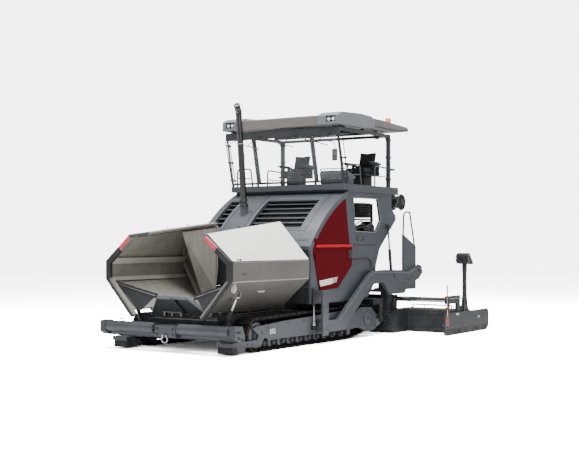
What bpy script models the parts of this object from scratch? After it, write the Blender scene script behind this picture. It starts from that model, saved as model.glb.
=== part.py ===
"""Tracked asphalt paver with a folding hopper and an extending screed.

Metres, +Z up. The machine faces -Y, and +X is its left side. The model is drawn with Y = 0 at the
front of the push rollers, and one empty then moves it so that the origin is at the middle of its
footprint, on the ground.
"""

import math

import bmesh
import bpy
from mathutils import Matrix, Vector

GAP = 0.0003  # between pieces that touch
RUNNING = 0.006  # between pieces that move past each other
SLIDING = 0.002  # around a rod or tube in its bore

# Overall sizes
LENGTH = 6.80  # push rollers to the rear of the end gates
BODY_X = 1.18  # outer face of the side panels

# Tracks
TRACK_IN, TRACK_OUT = 0.88, 1.16
TRACK_THICK = 0.062
SHOE_HEIGHT, SHOE_PITCH = 0.018, 0.166
IDLER_Y, IDLER_R = 0.80, 0.262
SPROCKET_Y, SPROCKET_Z, SPROCKET_R = 3.98, 0.335, 0.25
LAST_ROLLER_Y, LAST_ROLLER_R = 3.52, 0.12
BOTTOM_ROLLERS, BOTTOM_ROLLER_R = 10, 0.058

# Main frame and body
RAIL_IN, RAIL_OUT = 0.62, 0.84
RAIL_LOW, RAIL_TOP = 0.28, 0.555
FRAME_FRONT, FRAME_REAR = 0.52, 4.34
FLOOR_TOP = 0.32
BODY_FRONT = 2.25
DECK_LOW, DECK_THICK = 0.95, 0.05
BODY_LOW = 0.66
PANEL_THICK = 0.04
HOOD_ARC = ((2.25, 1.60), (2.72, 2.10), (3.42, 2.53))
HOOD_THICK = 0.035
HOOD_SHOULDER = 0.09
BELT_Z = 1.60
DOOR_TOP_Y = 3.35
DOOR_PROUD = 0.012
DOOR_HINGE = (BODY_X + DOOR_PROUD + 0.001, 2.37)
PLATFORM_Z, PLATFORM_THICK = 2.53, 0.06
PLATFORM_FRONT, PLATFORM_REAR = 3.44, 5.24
CURB_TOP = 2.66
GRILLES = {"left": (-0.26, 0.82), "right": (-1.06, -0.84)}
GRILLE_LOW_Z, GRILLE_TOP_Z = 1.93, 2.39
GRILLE_SLATS = 6

# Canopy
ROOF_X = 1.205
ROOF_FRONT, ROOF_REAR = 3.08, 5.61
ROOF_LOW, ROOF_TOP = 3.65, 3.85
POST_R = 0.027
SCREEN_LOW = (3.31, 2.71)
SCREEN_TOP = (3.13, 3.48)
REAR_POST_Y = 4.91
REAR_POST_X = 1.16
FRONT_POST_X = (0.61, 1.165)

# Hose reel
REEL_PLACE, REEL_R = (5.40, 2.40), 0.15
REEL_X = (0.98, 1.18)

# Seats and console
SEAT_X, SEAT_Y = 0.72, 4.72
SEAT_WIDTH = 0.46
SEAT_TOP = 3.27
CONSOLE_X, CONSOLE_Y = 0.84, 3.66
CONSOLE_WIDTH = 0.54

# Exhaust
EXHAUST_X, EXHAUST_R = -0.54, 0.055
EXHAUST_COLLAR_R = 0.075
EXHAUST_FOOT = (2.79, 2.26)
EXHAUST_TOP = (2.62, 4.00)

# Hopper
WING_FRONT, WING_REAR = 0.09, 2.12
WING_PIVOT = (0.68, 0.62)
WING_CORNERS = ((0.70, 0.635), (1.215, 1.10), (1.215, 1.37))
WING_LIP_FRONT, WING_LIP_REAR = (0.75, 1.77), (0.66, 1.98)
WING_THICK = 0.03
WING_TOE = (0.70, 0.51)
APRON_PIVOT = (0.40, 0.54)
APRON_TOP = (0.20, 0.84)
APRON_LOW_X, APRON_TOP_X = 0.58, 0.28
RAM_FOOT = (0.815, 0.37)
RAM_HEAD = (1.03, 0.845)
RAM_Y, RAM_R, RAM_ROD_R = 0.455, 0.032, 0.018
RAM_BARREL = 0.30

# Push bar
ROLLER_R, ROLLER_Z = 0.084, 0.36
ROLLER_X = (0.23, 1.20)
PUSH_TUBE_R = 0.055
PUSH_TUBE_Y, PUSH_TUBE_Z = ROLLER_R + 0.111, ROLLER_Z - ROLLER_R - 0.014
PUSH_BAR_X = 1.325
PUSH_PIVOT_Y, PUSH_TONGUE_Z = 0.30, (0.28, 0.41)

# Tow arms and screed
TOW_PIN = (2.48, 0.29)
ARM_IN, ARM_OUT = BODY_X + 0.065, BODY_X + 0.115
POST_Y = (2.39, 2.57)
POST_Z = (0.14, 0.87)
LIFT_X = BODY_X + 0.033
LIFT_TOP, LIFT_EYE = (4.80, 1.95), (4.93, 1.07)
LIFT_ROD_R, LIFT_BARREL_R = 0.015, 0.028
LIFT_ROD_LENGTH, LIFT_BARREL_LENGTH = 0.468, 0.427
SCREED_X = ARM_IN - 0.001
SCREED_FRONT, SCREED_REAR = 4.95, 5.46
SCREED_TOP = 0.42
EXT_IN, EXT_OUT = 1.02, 2.27
EXT_FRONT, EXT_REAR = 5.48, 6.02
GATE_OUT, GATE_THICK = 2.305, 0.028
GATE_FRONT, GATE_TOP = 4.90, 0.40
CONTROL_PLACE = (2.18, 5.98)
TUBE_Z, TUBE_R = 0.625, 0.045
TUBE_Y = {"left": 5.12, "right": 5.28}
SLEEVE_WALL = 0.02
STEP_PANEL_X = (BODY_X + 0.02, BODY_X + 0.055)
AUGER_Y, AUGER_Z, AUGER_R = 4.64, 0.31, 0.185
AUGER_IN, AUGER_END = 0.09, 1.13

SIDES = {"left": 1, "right": -1}


# ---------------------------------------------------------------- helpers

def clear_scene():
    for item in list(bpy.data.objects):
        bpy.data.objects.remove(item, do_unlink=True)


def material(name, color, roughness, metallic=0.0):
    made = bpy.data.materials.new(name)
    made.use_nodes = True
    shader = made.node_tree.nodes["Principled BSDF"]
    shader.inputs["Base Color"].default_value = (*color, 1)
    shader.inputs["Roughness"].default_value = roughness
    shader.inputs["Metallic"].default_value = metallic
    return made


def new_object(name, mesh):
    made = bpy.data.objects.new(name, mesh)
    bpy.context.scene.collection.objects.link(made)
    return made


def solid(corners, faces):
    """A helper object from corners and faces, with its faces turned out."""
    shape = bmesh.new()
    points = [shape.verts.new(corner) for corner in corners]
    for face in faces:
        shape.faces.new([points[index] for index in face])
    bmesh.ops.recalc_face_normals(shape, faces=shape.faces)
    mesh = bpy.data.meshes.new("piece")
    shape.to_mesh(mesh)
    shape.free()
    return new_object("piece", mesh)


def prism(axis, outline, low, high):
    """The outline, given in the other two axes in their order, swept along axis from low to high."""
    place = {
        "X": lambda a, b, along: (along, a, b),
        "Y": lambda a, b, along: (a, along, b),
        "Z": lambda a, b, along: (a, b, along),
    }[axis]
    count = len(outline)
    corners = [place(a, b, low) for a, b in outline] + [place(a, b, high) for a, b in outline]
    around = [(i, (i + 1) % count, (i + 1) % count + count, i + count) for i in range(count)]
    return solid(corners, [range(count), range(count, 2 * count), *around])


def box(x, y, z):
    return prism("Z", [(x[0], y[0]), (x[1], y[0]), (x[1], y[1]), (x[0], y[1])], *z)


def rod(start, end, radius, sides=16):
    """A round bar from start to end."""
    start, end = Vector(start), Vector(end)
    turn = (end - start).to_track_quat("Z", "Y")
    ring = [Vector((math.cos(a), math.sin(a), 0)) * radius for a in angles(sides)]
    corners = [turn @ point + centre for centre in (start, end) for point in ring]
    around = [(i, (i + 1) % sides, (i + 1) % sides + sides, i + sides) for i in range(sides)]
    return solid(corners, [range(sides), range(sides, 2 * sides), *around])


def plate(front_edge, rear_edge, thickness):
    """A plate between two edges, each two (x, z) points at one y; it grows along +normal."""
    (y0, a0, b0), (y1, a1, b1) = front_edge, rear_edge
    corners = [(a0[0], y0, a0[1]), (b0[0], y0, b0[1]), (b1[0], y1, b1[1]), (a1[0], y1, a1[1])]
    corners = [Vector(corner) for corner in corners]
    normal = (corners[1] - corners[0]).cross(corners[3] - corners[0]).normalized()
    corners += [corner + normal * thickness for corner in corners]
    faces = [(0, 1, 2), (0, 2, 3), (4, 5, 6), (4, 6, 7)]
    return solid(corners, faces + [(i, (i + 1) % 4, (i + 1) % 4 + 4, i + 4) for i in range(4)])


def angles(count, start=0.0, sweep=math.tau):
    return [start + sweep * step / count for step in range(count)]


def circle(centre, radius, count=24):
    return [(centre[0] + radius * math.cos(a), centre[1] + radius * math.sin(a)) for a in angles(count)]


def circle_centre(first, middle, last):
    """The centre of the circle through three points."""
    ax, ay, bx, by, cx, cy = *first, *middle, *last
    scale = 2 * (ax * (by - cy) + bx * (cy - ay) + cx * (ay - by))
    squares = ax * ax + ay * ay, bx * bx + by * by, cx * cx + cy * cy
    x = (squares[0] * (by - cy) + squares[1] * (cy - ay) + squares[2] * (ay - by)) / scale
    y = (squares[0] * (cx - bx) + squares[1] * (ax - cx) + squares[2] * (bx - ax)) / scale
    return x, y


def combined(name, pieces, cuts=(), look=None):
    """One body from pieces that overlap, less the cuts. The helpers are removed."""
    body = pieces[0]
    for operation, others in (("UNION", pieces[1:]), ("DIFFERENCE", cuts)):
        for other in others:
            step = body.modifiers.new(operation.title(), "BOOLEAN")
            step.operation = operation
            step.object = other
    graph = bpy.context.evaluated_depsgraph_get()
    mesh = bpy.data.meshes.new_from_object(body.evaluated_get(graph))
    for helper in [*pieces, *cuts]:
        bpy.data.objects.remove(helper)
    mesh.name = name
    mesh.materials.clear()
    mesh.materials.append(look)
    return new_object(name, mesh)


def mirrored(source, name):
    """The other side's copy of a left-hand piece."""
    mesh = source.data.copy()
    mesh.name = name
    mesh.transform(Matrix.Scale(-1, 4, (1, 0, 0)))
    mesh.flip_normals()
    return new_object(name, mesh)


def both_sides(name, make):
    """Makes the left-hand piece and its mirrored right-hand twin."""
    left = make(name + "_left")
    return left, mirrored(left, name + "_right")


def shade_round(*items):
    for item in items:
        item.data.shade_smooth()
        item.data.set_sharp_from_angle(angle=math.radians(35))


def pivot(name, place, *children):
    """An empty on a joint's axis, which carries the pieces that move with it."""
    empty = bpy.data.objects.new(name + "_axis", None)
    bpy.context.scene.collection.objects.link(empty)
    empty.location = place
    for child in children:
        child.parent = empty
        child.matrix_parent_inverse = Matrix.Translation(place).inverted()


def side(x, sign):
    """An x range on one side of the machine, low end first."""
    return sorted((x[0] * sign, x[1] * sign))


# ---------------------------------------------------------------- tracks

def belt(shrink, count=32):
    """The line a track follows round its wheels, drawn in by shrink."""
    wheels = [
        ((IDLER_Y, IDLER_R), IDLER_R),
        ((SPROCKET_Y, SPROCKET_Z), SPROCKET_R),
        ((LAST_ROLLER_Y, LAST_ROLLER_R), LAST_ROLLER_R),
    ]
    points = []
    for centre, radius in wheels:
        points += circle(centre, radius - shrink, count)
    return hull(points)


def hull(points):
    """The convex outline around the points, anticlockwise."""
    ordered = sorted(set((round(a, 6), round(b, 6)) for a, b in points))
    outline = []
    for line in (ordered, ordered[::-1]):
        kept = []
        for point in line:
            while len(kept) > 1 and turn_of(kept[-2], kept[-1], point) <= 1e-9:
                kept.pop()
            kept.append(point)
        outline += kept[:-1]
    return outline


def turn_of(a, b, c):
    return (b[0] - a[0]) * (c[1] - a[1]) - (b[1] - a[1]) * (c[0] - a[0])


def along_outline(outline, distance):
    """The point at a distance round the outline, and the outward normal there."""
    for start, end in zip(outline, outline[1:] + outline[:1]):
        length = math.dist(start, end)
        if distance <= length:
            way = ((end[0] - start[0]) / length, (end[1] - start[1]) / length)
            point = (start[0] + way[0] * distance, start[1] + way[1] * distance)
            return point, (way[1], -way[0])
        distance -= length
    return outline[0], (0.0, -1.0)


def shoe_outline():
    """The belt's outer line with a raised pad for every shoe."""
    line = belt(SHOE_HEIGHT)
    girth = sum(math.dist(a, b) for a, b in zip(line, line[1:] + line[:1]))
    shoes = round(girth / SHOE_PITCH)
    outline = []
    for shoe in range(shoes):
        for share, lift in ((0.04, 0), (0.10, 1), (0.90, 1), (0.96, 0)):
            point, out = along_outline(line, girth * (shoe + share) / shoes)
            height = SHOE_HEIGHT * lift
            outline.append((point[0] + out[0] * height, point[1] + out[1] * height))
    return outline


def track(name):
    outer = prism("X", shoe_outline(), TRACK_IN, TRACK_OUT)
    hollow = prism("X", belt(TRACK_THICK), TRACK_IN - 0.1, TRACK_OUT + 0.1)
    return combined(name, [outer], [hollow], LOOKS["track"])


def track_frame(name):
    """Side beam, wheels and cover of one track, with the scraper block in front of it."""
    wheel_x = (TRACK_IN + 0.02, TRACK_OUT - 0.02)
    cover_in = TRACK_OUT + RUNNING
    core_low = 2 * BOTTOM_ROLLER_R + TRACK_THICK - 0.01
    front_top = PUSH_TUBE_Z - PUSH_TUBE_R - 3 * RUNNING
    core = [(1.05, core_low), (3.62, core_low), (3.95, 0.24), (3.95, 0.42), (1.05, 0.38)]
    pieces = [prism("X", core, RAIL_OUT + GAP, cover_in + 0.005)]
    pieces.append(box((0.95, 1.09), (IDLER_Y, 1.10), (IDLER_R - 0.04, IDLER_R + 0.04)))
    first, last = 1.16, LAST_ROLLER_Y
    roller_z = TRACK_THICK + BOTTOM_ROLLER_R + RUNNING
    for index in range(BOTTOM_ROLLERS):
        y = first + (last - first) * index / (BOTTOM_ROLLERS - 1)
        pieces.append(rod((wheel_x[0], y, roller_z), (wheel_x[1], y, roller_z), BOTTOM_ROLLER_R, 14))
    for y, z, radius in ((IDLER_Y, IDLER_R, IDLER_R), (SPROCKET_Y, SPROCKET_Z, SPROCKET_R)):
        wheel_r = radius - TRACK_THICK - RUNNING
        pieces.append(rod((wheel_x[0], y, z), (wheel_x[1], y, z), wheel_r, 28))
    beam = [
        (0.16, 0.12), (0.87, 0.09), (0.94, 0.21), (2.41, 0.165), (3.20, 0.17), (3.30, 0.50),
        (2.18, 0.46), (1.48, 0.44), (0.78, 0.40), (0.65, 0.375), (0.80, 0.27),
        (0.77, front_top + 0.01), (0.16, front_top),
    ]
    pieces.append(prism("X", beam, cover_in, cover_in + 0.02))
    cover = [
        (3.18, 0.23), (3.76, 0.18), (4.05, 0.09), (4.30, 0.13), (4.34, 0.17),
        (4.34, 0.38), (4.16, 0.515), (3.78, 0.53), (3.24, 0.31),
    ]
    pieces.append(prism("X", cover, cover_in, cover_in + 0.068))
    block_x = (TRACK_IN + 0.01, TRACK_OUT)
    pieces.append(box(block_x, (0.18, 0.50), (0.02, 0.13)))
    pieces.append(box((block_x[0], cover_in + 0.02), (0.16, 0.36), (0.12, front_top - 0.005)))
    return combined(name, pieces, (), LOOKS["body"])


# ---------------------------------------------------------------- frame and body

def chassis():
    pieces = [box((-RAIL_OUT, RAIL_OUT), (FRAME_FRONT, FRAME_REAR), (RAIL_LOW, FLOOR_TOP))]
    for sign in SIDES.values():
        pieces.append(box(side((RAIL_IN, RAIL_OUT), sign), (FRAME_FRONT, FRAME_REAR), (RAIL_LOW, RAIL_TOP)))
        pieces.append(box(side((RAIL_IN, 0.66), sign), (BODY_FRONT, FRAME_REAR), (0.50, DECK_LOW + 0.01)))
        for y in (0.60, 1.30, 2.04):
            pieces.append(box(side((0.63, 0.66), sign), (y, y + 0.05), (0.50, 0.575)))
        for y in (0.388, 0.498):
            pieces.append(box(side((0.60, 0.85), sign), (y, y + 0.024), (0.33, 0.42)))
    pieces.append(box((-0.70, 0.70), (0.40, 0.54), (0.25, 0.48)))
    pieces.append(box((-0.14, 0.14), (PUSH_PIVOT_Y + 0.055, 0.42), (0.26, 0.43)))
    for z in (PUSH_TONGUE_Z[0] - 0.022, PUSH_TONGUE_Z[1] + 0.008):
        pieces.append(box((-0.05, 0.05), (PUSH_PIVOT_Y - 0.018, 0.40), (z, z + 0.014)))
    wide = BODY_X - PANEL_THICK - GAP
    pieces.append(box((-wide, wide), (BODY_FRONT, FRAME_REAR), (DECK_LOW, DECK_LOW + DECK_THICK)))
    under_hood = hood_line(HOOD_THICK)[0][1] - GAP
    pieces.append(box((-wide, wide), (BODY_FRONT, BODY_FRONT + 0.05), (DECK_LOW, under_hood)))
    pieces.append(box((-wide, wide), (FRAME_REAR - 0.05, FRAME_REAR), (DECK_LOW, 1.80)))
    for sign in SIDES.values():
        across = side((RAIL_OUT - 0.02, wide), sign)
        pieces.append(box(across, (BODY_FRONT, BODY_FRONT + 0.05), (BODY_LOW, 1.0)))
    return combined("chassis", pieces, (), LOOKS["frame"])


def slat_conveyor():
    """The two bar conveyors' floor, from the hopper to the auger chamber."""
    low, high = FLOOR_TOP + GAP, FLOOR_TOP + 0.02
    front, rear, pitch = 0.56, FRAME_REAR + 0.06, 0.26
    outline = [(front, low), (rear, low), (rear, high)]
    bars = int((rear - front) / pitch)
    for index in reversed(range(bars)):
        y = front + 0.08 + index * pitch
        outline += [(y + 0.03, high), (y + 0.03, high + 0.035), (y, high + 0.035), (y, high)]
    outline.append((front, high))
    reach = RAIL_IN - 0.02
    return combined("slat_conveyor", [prism("X", outline, -reach, reach)], (), LOOKS["steel"])


def engine_block():
    floor = DECK_LOW + DECK_THICK + GAP
    block = box((-0.42, 0.42), (2.80, 4.10), (floor, floor + 0.72))
    return combined("engine_block", [block], (), LOOKS["frame"])


def hood_line(drop, front=HOOD_ARC[0][0], rear=HOOD_ARC[-1][0], count=10):
    """The hood's curve from front to rear, drawn in by drop from its outer face."""
    centre = circle_centre(*HOOD_ARC)
    radius = math.dist(centre, HOOD_ARC[0]) - drop
    start = math.acos((front - centre[0]) / radius)
    end = math.acos((rear - centre[0]) / radius)
    steps = [start + (end - start) * step / (count - 1) for step in range(count)]
    return [(centre[0] + radius * math.cos(a), centre[1] + radius * math.sin(a)) for a in steps]


def hood():
    """The bonnet's curved skin, with a rounded shoulder at each side and two grille openings."""
    outer, inner, deep = hood_line(0), hood_line(HOOD_THICK), hood_line(HOOD_SHOULDER)
    pieces = [prism("X", outer + inner[::-1], -BODY_X, BODY_X)]
    for sign in SIDES.values():
        reach = side((BODY_X - PANEL_THICK, BODY_X), sign)
        pieces.append(prism("X", outer + deep[::-1], *reach))
    y, z = EXHAUST_FOOT
    pieces.append(rod((EXHAUST_X, y, z - 0.17), (EXHAUST_X, y, z - RUNNING / 2), EXHAUST_COLLAR_R - 0.01, 20))
    cuts = [grille_opening(*GRILLES["left"]), grille_opening(*GRILLES["right"])]
    return combined("hood", pieces, cuts, LOOKS["body"])


def on_hood(z, drop=0.0):
    """The y of the hood's line at a height."""
    line = hood_line(drop, count=40)
    for (y0, z0), (y1, z1) in zip(line, line[1:]):
        if z0 <= z <= z1:
            return y0 + (y1 - y0) * (z - z0) / (z1 - z0)
    return line[-1][0]


def grille_opening(low_x, high_x):
    low, high = GRILLE_LOW_Z, GRILLE_TOP_Z
    y0, y1 = on_hood(low), on_hood(high)
    outline = [(y0 - 0.2, low + 0.12), (y0 + 0.2, low - 0.16)]
    outline += [(y1 + 0.2, high - 0.2), (y1 - 0.2, high + 0.16)]
    return prism("X", outline, low_x, high_x)


def grille(name, reach):
    """Louvre slats between two stiles, set just inside the hood's opening."""
    low_x, high_x = reach[0] - 0.01, reach[1] + 0.01
    low_z, high_z = GRILLE_LOW_Z - 0.04, GRILLE_TOP_Z + 0.04
    drop = HOOD_THICK + 0.003
    heights = [low_z + (high_z - low_z) * step / 8 for step in range(9)]
    stile = [(on_hood(z, drop), z) for z in heights]
    stile += [(on_hood(z, drop + 0.04), z) for z in reversed(heights)]
    pieces = [prism("X", stile, x, x + 0.025) for x in (low_x - 0.02, high_x - 0.005)]
    for index in range(GRILLE_SLATS + 1):
        z = low_z + 0.01 + (high_z - low_z - 0.05) * index / GRILLE_SLATS
        edges = [(on_hood(level, drop) + 0.003, level) for level in (z, z + 0.016)]
        slat = [edges[0], (edges[0][0] + 0.085, z + 0.012), (edges[0][0] + 0.085, z + 0.020), edges[1]]
        pieces.append(prism("X", slat, low_x - 0.01, high_x + 0.01))
    return combined(name, pieces, (), LOOKS["black"])


def door_outline(margin=0.0, drop=HOOD_SHOULDER + RUNNING):
    """The red side door seen from the side; margin makes it smaller all round."""
    front, rear = BODY_FRONT + 0.09 + margin, 3.56 - margin
    return hood_line(drop, front, DOOR_TOP_Y - margin) + [
        (3.475 - margin, BELT_Z + 0.022 - margin), (rear, BELT_Z + 0.022 - margin), (rear, 1.27 + margin / 2),
        (3.10, 0.90 + margin), (2.52 + margin / 2, 0.875 + margin), (front, BELT_Z - 0.12),
    ]


def side_door(name):
    inner = BODY_X - PANEL_THICK + RUNNING
    pieces = [prism("X", door_outline(), inner, BODY_X + DOOR_PROUD)]
    pieces.append(box((BODY_X - 0.01, BODY_X + 0.028), (2.40, 3.55), (BELT_Z - 0.022, BELT_Z + 0.022)))
    return combined(name, pieces, (), LOOKS["red"])


def side_panel(name):
    """The body side: sill, front corner, rear frame with its window, and the tow point's guide."""
    outline = [
        (BODY_FRONT, BODY_LOW), (3.31, BODY_LOW), (4.13, 0.70), (4.38, 0.95), (4.42, 1.25), (4.56, 1.55),
        (4.91, 1.85), (5.16, 2.06), (5.16, 2.14), (5.00, 2.28), (5.00, PLATFORM_Z - GAP),
        (HOOD_ARC[-1][0] + RUNNING, PLATFORM_Z - GAP),
    ]
    deep = hood_line(HOOD_SHOULDER + GAP)
    outline += [(HOOD_ARC[-1][0] + RUNNING, deep[-1][1]), *deep[::-1]]
    inner = BODY_X - PANEL_THICK
    panel = prism("X", outline, inner, BODY_X)
    bridge = box((inner, ARM_OUT + 0.04), POST_Y, (0.80, POST_Z[1]))
    cheek = box((ARM_OUT + RUNNING, ARM_OUT + 0.04), POST_Y, POST_Z)
    window = [(3.62, 2.43), (4.48, 2.43), (4.58, 2.05), (4.40, 1.83), (3.68, 1.85)]
    cuts = [prism("X", window, inner - 0.1, BODY_X + 0.1)]
    cuts.append(prism("X", door_outline(-RUNNING, HOOD_SHOULDER / 2), inner - 0.1, BODY_X + 0.1))
    return combined(name, [panel, bridge, cheek], cuts, LOOKS["body"])


def operator_platform():
    reach = BODY_X + 0.01
    low, high = PLATFORM_Z, PLATFORM_Z + PLATFORM_THICK
    pieces = [box((-reach, reach), (PLATFORM_FRONT, PLATFORM_REAR), (low, high))]
    pieces.append(box((-reach, reach), (SCREEN_LOW[0] - 0.02, PLATFORM_FRONT + 0.1), (high - 0.03, high)))
    pieces.append(box((-reach, reach), (SCREEN_LOW[0] - 0.02, SCREEN_LOW[0] + 0.02), (high - 0.03, CURB_TOP)))
    for sign in SIDES.values():
        curb = side((REAR_POST_X - POST_R, reach), sign)
        pieces.append(box(curb, (SCREEN_LOW[0], PLATFORM_REAR), (high - 0.03, CURB_TOP)))
    y, z = REEL_PLACE
    across = (REEL_X[0] - 0.028, REEL_X[0] - 0.01)
    pieces.append(box(across, (PLATFORM_REAR - 0.06, y + 0.04), (z - 0.04, high - 0.01)))
    return combined("operator_platform", pieces, (), LOOKS["body"])


def console():
    low = PLATFORM_Z + PLATFORM_THICK + RUNNING
    half = CONSOLE_WIDTH / 2
    x = (CONSOLE_X - half, CONSOLE_X + half)
    outline = [
        (CONSOLE_Y - 0.10, low), (CONSOLE_Y + 0.08, low), (CONSOLE_Y + 0.10, low + 0.16),
        (CONSOLE_Y + 0.18, low + 0.20), (CONSOLE_Y - 0.12, low + 0.31), (CONSOLE_Y - 0.16, low + 0.26),
    ]
    return combined("console", [prism("X", outline, *x)], (), LOOKS["trim"])


def seat_base(name):
    low = PLATFORM_Z + PLATFORM_THICK + RUNNING
    half = SEAT_WIDTH / 2
    x = (SEAT_X - half, SEAT_X + half)
    pan = low + 0.30
    pieces = [rod((SEAT_X, SEAT_Y, low), (SEAT_X, SEAT_Y, low + 0.04), 0.18, 24)]
    pieces.append(box((SEAT_X - 0.13, SEAT_X + 0.13), (SEAT_Y - 0.14, SEAT_Y + 0.14), (low, pan)))
    pieces.append(box(x, (SEAT_Y - 0.26, SEAT_Y + 0.20), (pan - 0.03, pan)))
    back = [
        (SEAT_Y + 0.16, pan - 0.03), (SEAT_Y + 0.20, pan - 0.03),
        (SEAT_Y + 0.30, SEAT_TOP - 0.20), (SEAT_Y + 0.26, SEAT_TOP - 0.20),
    ]
    pieces.append(prism("X", back, x[0] + 0.04, x[1] - 0.04))
    for inner in (x[0] - 0.05, x[1] + 0.01):
        arm = (inner, inner + 0.04)
        pieces.append(box(arm, (SEAT_Y - 0.16, SEAT_Y + 0.22), (pan + 0.17, pan + 0.205)))
        pieces.append(box(arm, (SEAT_Y + 0.10, SEAT_Y + 0.15), (pan - 0.02, pan + 0.18)))
        across = (min(arm[0], SEAT_X), max(arm[1], SEAT_X))
        pieces.append(box(across, (SEAT_Y + 0.10, SEAT_Y + 0.15), (pan - 0.03, pan - 0.005)))
    return combined(name, pieces, (), LOOKS["black"])


def seat_cushion(name):
    """Seat pad, back pad and headrest as one plain form."""
    pan = PLATFORM_Z + PLATFORM_THICK + RUNNING + 0.30
    half = SEAT_WIDTH / 2
    pad_top = pan + 0.10
    pieces = [box((SEAT_X - half, SEAT_X + half), (SEAT_Y - 0.27, SEAT_Y + 0.15), (pan + RUNNING, pad_top))]
    back = [
        (SEAT_Y + 0.05, pan + 0.03), (SEAT_Y + 0.153, pan + 0.03),
        (SEAT_Y + 0.252, SEAT_TOP - 0.20), (SEAT_Y + 0.26, SEAT_TOP - 0.12), (SEAT_Y + 0.16, SEAT_TOP - 0.12),
    ]
    pieces.append(prism("X", back, SEAT_X - half + 0.02, SEAT_X + half - 0.02))
    head = [
        (SEAT_Y + 0.17, SEAT_TOP - 0.14), (SEAT_Y + 0.25, SEAT_TOP - 0.14),
        (SEAT_Y + 0.27, SEAT_TOP), (SEAT_Y + 0.19, SEAT_TOP),
    ]
    pieces.append(prism("X", head, SEAT_X - 0.14, SEAT_X + 0.14))
    return combined(name, pieces, (), LOOKS["black"])


# ---------------------------------------------------------------- canopy and exhaust

def canopy_roof():
    outline = [
        (ROOF_FRONT, ROOF_LOW), (ROOF_FRONT + 0.01, ROOF_TOP - 0.04), (ROOF_FRONT + 0.12, ROOF_TOP - 0.01),
        (3.80, ROOF_TOP + 0.01), (4.60, ROOF_TOP),
        (ROOF_REAR - 0.06, ROOF_TOP - 0.05), (ROOF_REAR, ROOF_TOP - 0.08),
        (ROOF_REAR, ROOF_TOP - 0.125), (5.15, ROOF_LOW + 0.02), (3.90, ROOF_LOW), (3.80, ROOF_LOW - 0.035),
        (ROOF_FRONT + 0.25, ROOF_LOW - 0.035), (ROOF_FRONT + 0.20, ROOF_LOW),
    ]
    roof = prism("X", outline, -ROOF_X, ROOF_X)
    cuts = [box((-0.93, 0.93), (ROOF_FRONT + 0.22, 3.95), (ROOF_LOW - 0.1, ROOF_LOW))]
    for sign in SIDES.values():
        lamp = side((0.97, 1.15), sign)
        cuts.append(box(lamp, (ROOF_FRONT - 0.1, ROOF_FRONT + 0.04), (ROOF_LOW + 0.05, ROOF_TOP - 0.055)))
    return combined("canopy_roof", [roof], cuts, LOOKS["light_grey"])


def canopy_frame():
    """Posts, screen frame, visor and the rails under the roof."""
    rail_low, rail_top = SCREEN_TOP[1] + 0.02, ROOF_LOW - 0.035 - GAP
    front = SCREEN_TOP[0]
    foot = CURB_TOP + GAP
    pieces = [box((-1.19, 1.19), (front - 0.02, front + 0.03), (SCREEN_TOP[1], rail_top))]
    rear_post = (REAR_POST_Y - 0.02, REAR_POST_Y + 0.02)
    sill = (SCREEN_LOW[0] - 0.015, SCREEN_LOW[0] + 0.015)
    pieces.append(box((-REAR_POST_X, REAR_POST_X), rear_post, (rail_top - 0.05, rail_top)))
    pieces.append(box((-1.18, 1.18), sill, (SCREEN_LOW[1] - 0.02, SCREEN_LOW[1] + 0.015)))
    for sign in SIDES.values():
        rail = side((REAR_POST_X - 0.03, REAR_POST_X + 0.03), sign)
        pieces.append(box(rail, (front, REAR_POST_Y + 0.02), (rail_top - 0.05, rail_top)))
        for x in FRONT_POST_X:
            low = (x * sign, SCREEN_LOW[0], SCREEN_LOW[1] - 0.01)
            high = (x * sign, SCREEN_TOP[0], SCREEN_TOP[1] + 0.03)
            pieces.append(rod(low, high, 0.018, 12))
            pieces.append(box(side((x - 0.015, x + 0.015), sign), sill, (foot, SCREEN_LOW[1])))
        post = [(REAR_POST_X * sign, REAR_POST_Y, z) for z in (foot, rail_top - 0.01)]
        pieces.append(rod(*post, POST_R, 16))
    return combined("canopy_frame", pieces, (), LOOKS["trim"])


def windscreen():
    forward = 0.026
    low_y, low_z = SCREEN_LOW[0] - forward, SCREEN_LOW[1] + 0.02
    top_y, top_z = SCREEN_TOP[0] - forward, SCREEN_TOP[1] - 0.01
    outline = [(low_y, low_z), (low_y - 0.006, low_z), (top_y - 0.006, top_z), (top_y, top_z)]
    return combined("windscreen", [prism("X", outline, -1.15, 1.15)], (), LOOKS["glass"])


def beacon():
    x, y = 1.0, 5.20
    foot = ROOF_TOP - 0.028
    pieces = [rod((x, y, foot), (x, y, foot + 0.04), 0.045, 20)]
    pieces.append(rod((x, y, foot + 0.03), (x, y, foot + 0.13), 0.052, 20))
    return combined("beacon", pieces, (), LOOKS["orange"])


def exhaust_pipe():
    foot = Vector((EXHAUST_X, EXHAUST_FOOT[0], EXHAUST_FOOT[1] + RUNNING / 2))
    top = Vector((EXHAUST_X, *EXHAUST_TOP))
    way = (top - foot).normalized()
    bend = top - way * 0.08
    outlet = bend + Vector((0.03, -0.10, 0.115))
    pieces = [rod(foot + Vector((0, 0, 0.03)), bend, EXHAUST_R, 20)]
    pieces.append(rod(bend - way * 0.012, outlet, EXHAUST_R, 20))
    pieces.append(rod(foot, foot + Vector((0, 0, 0.06)), EXHAUST_COLLAR_R, 20))
    return combined("exhaust_pipe", pieces, (), LOOKS["chrome"])


# ---------------------------------------------------------------- hopper and push bar

def wing_band(points, depth):
    """An edge frame that follows the wing's outline, depth wide, on its inner side."""
    inner = []
    for index, point in enumerate(points):
        before = points[max(index - 1, 0)]
        after = points[min(index + 1, len(points) - 1)]
        way = Vector(after) - Vector(before)
        way.normalize()
        inner.append((point[0] - way.y * depth, point[1] + way.x * depth))
    return list(points) + inner[::-1]


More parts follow.
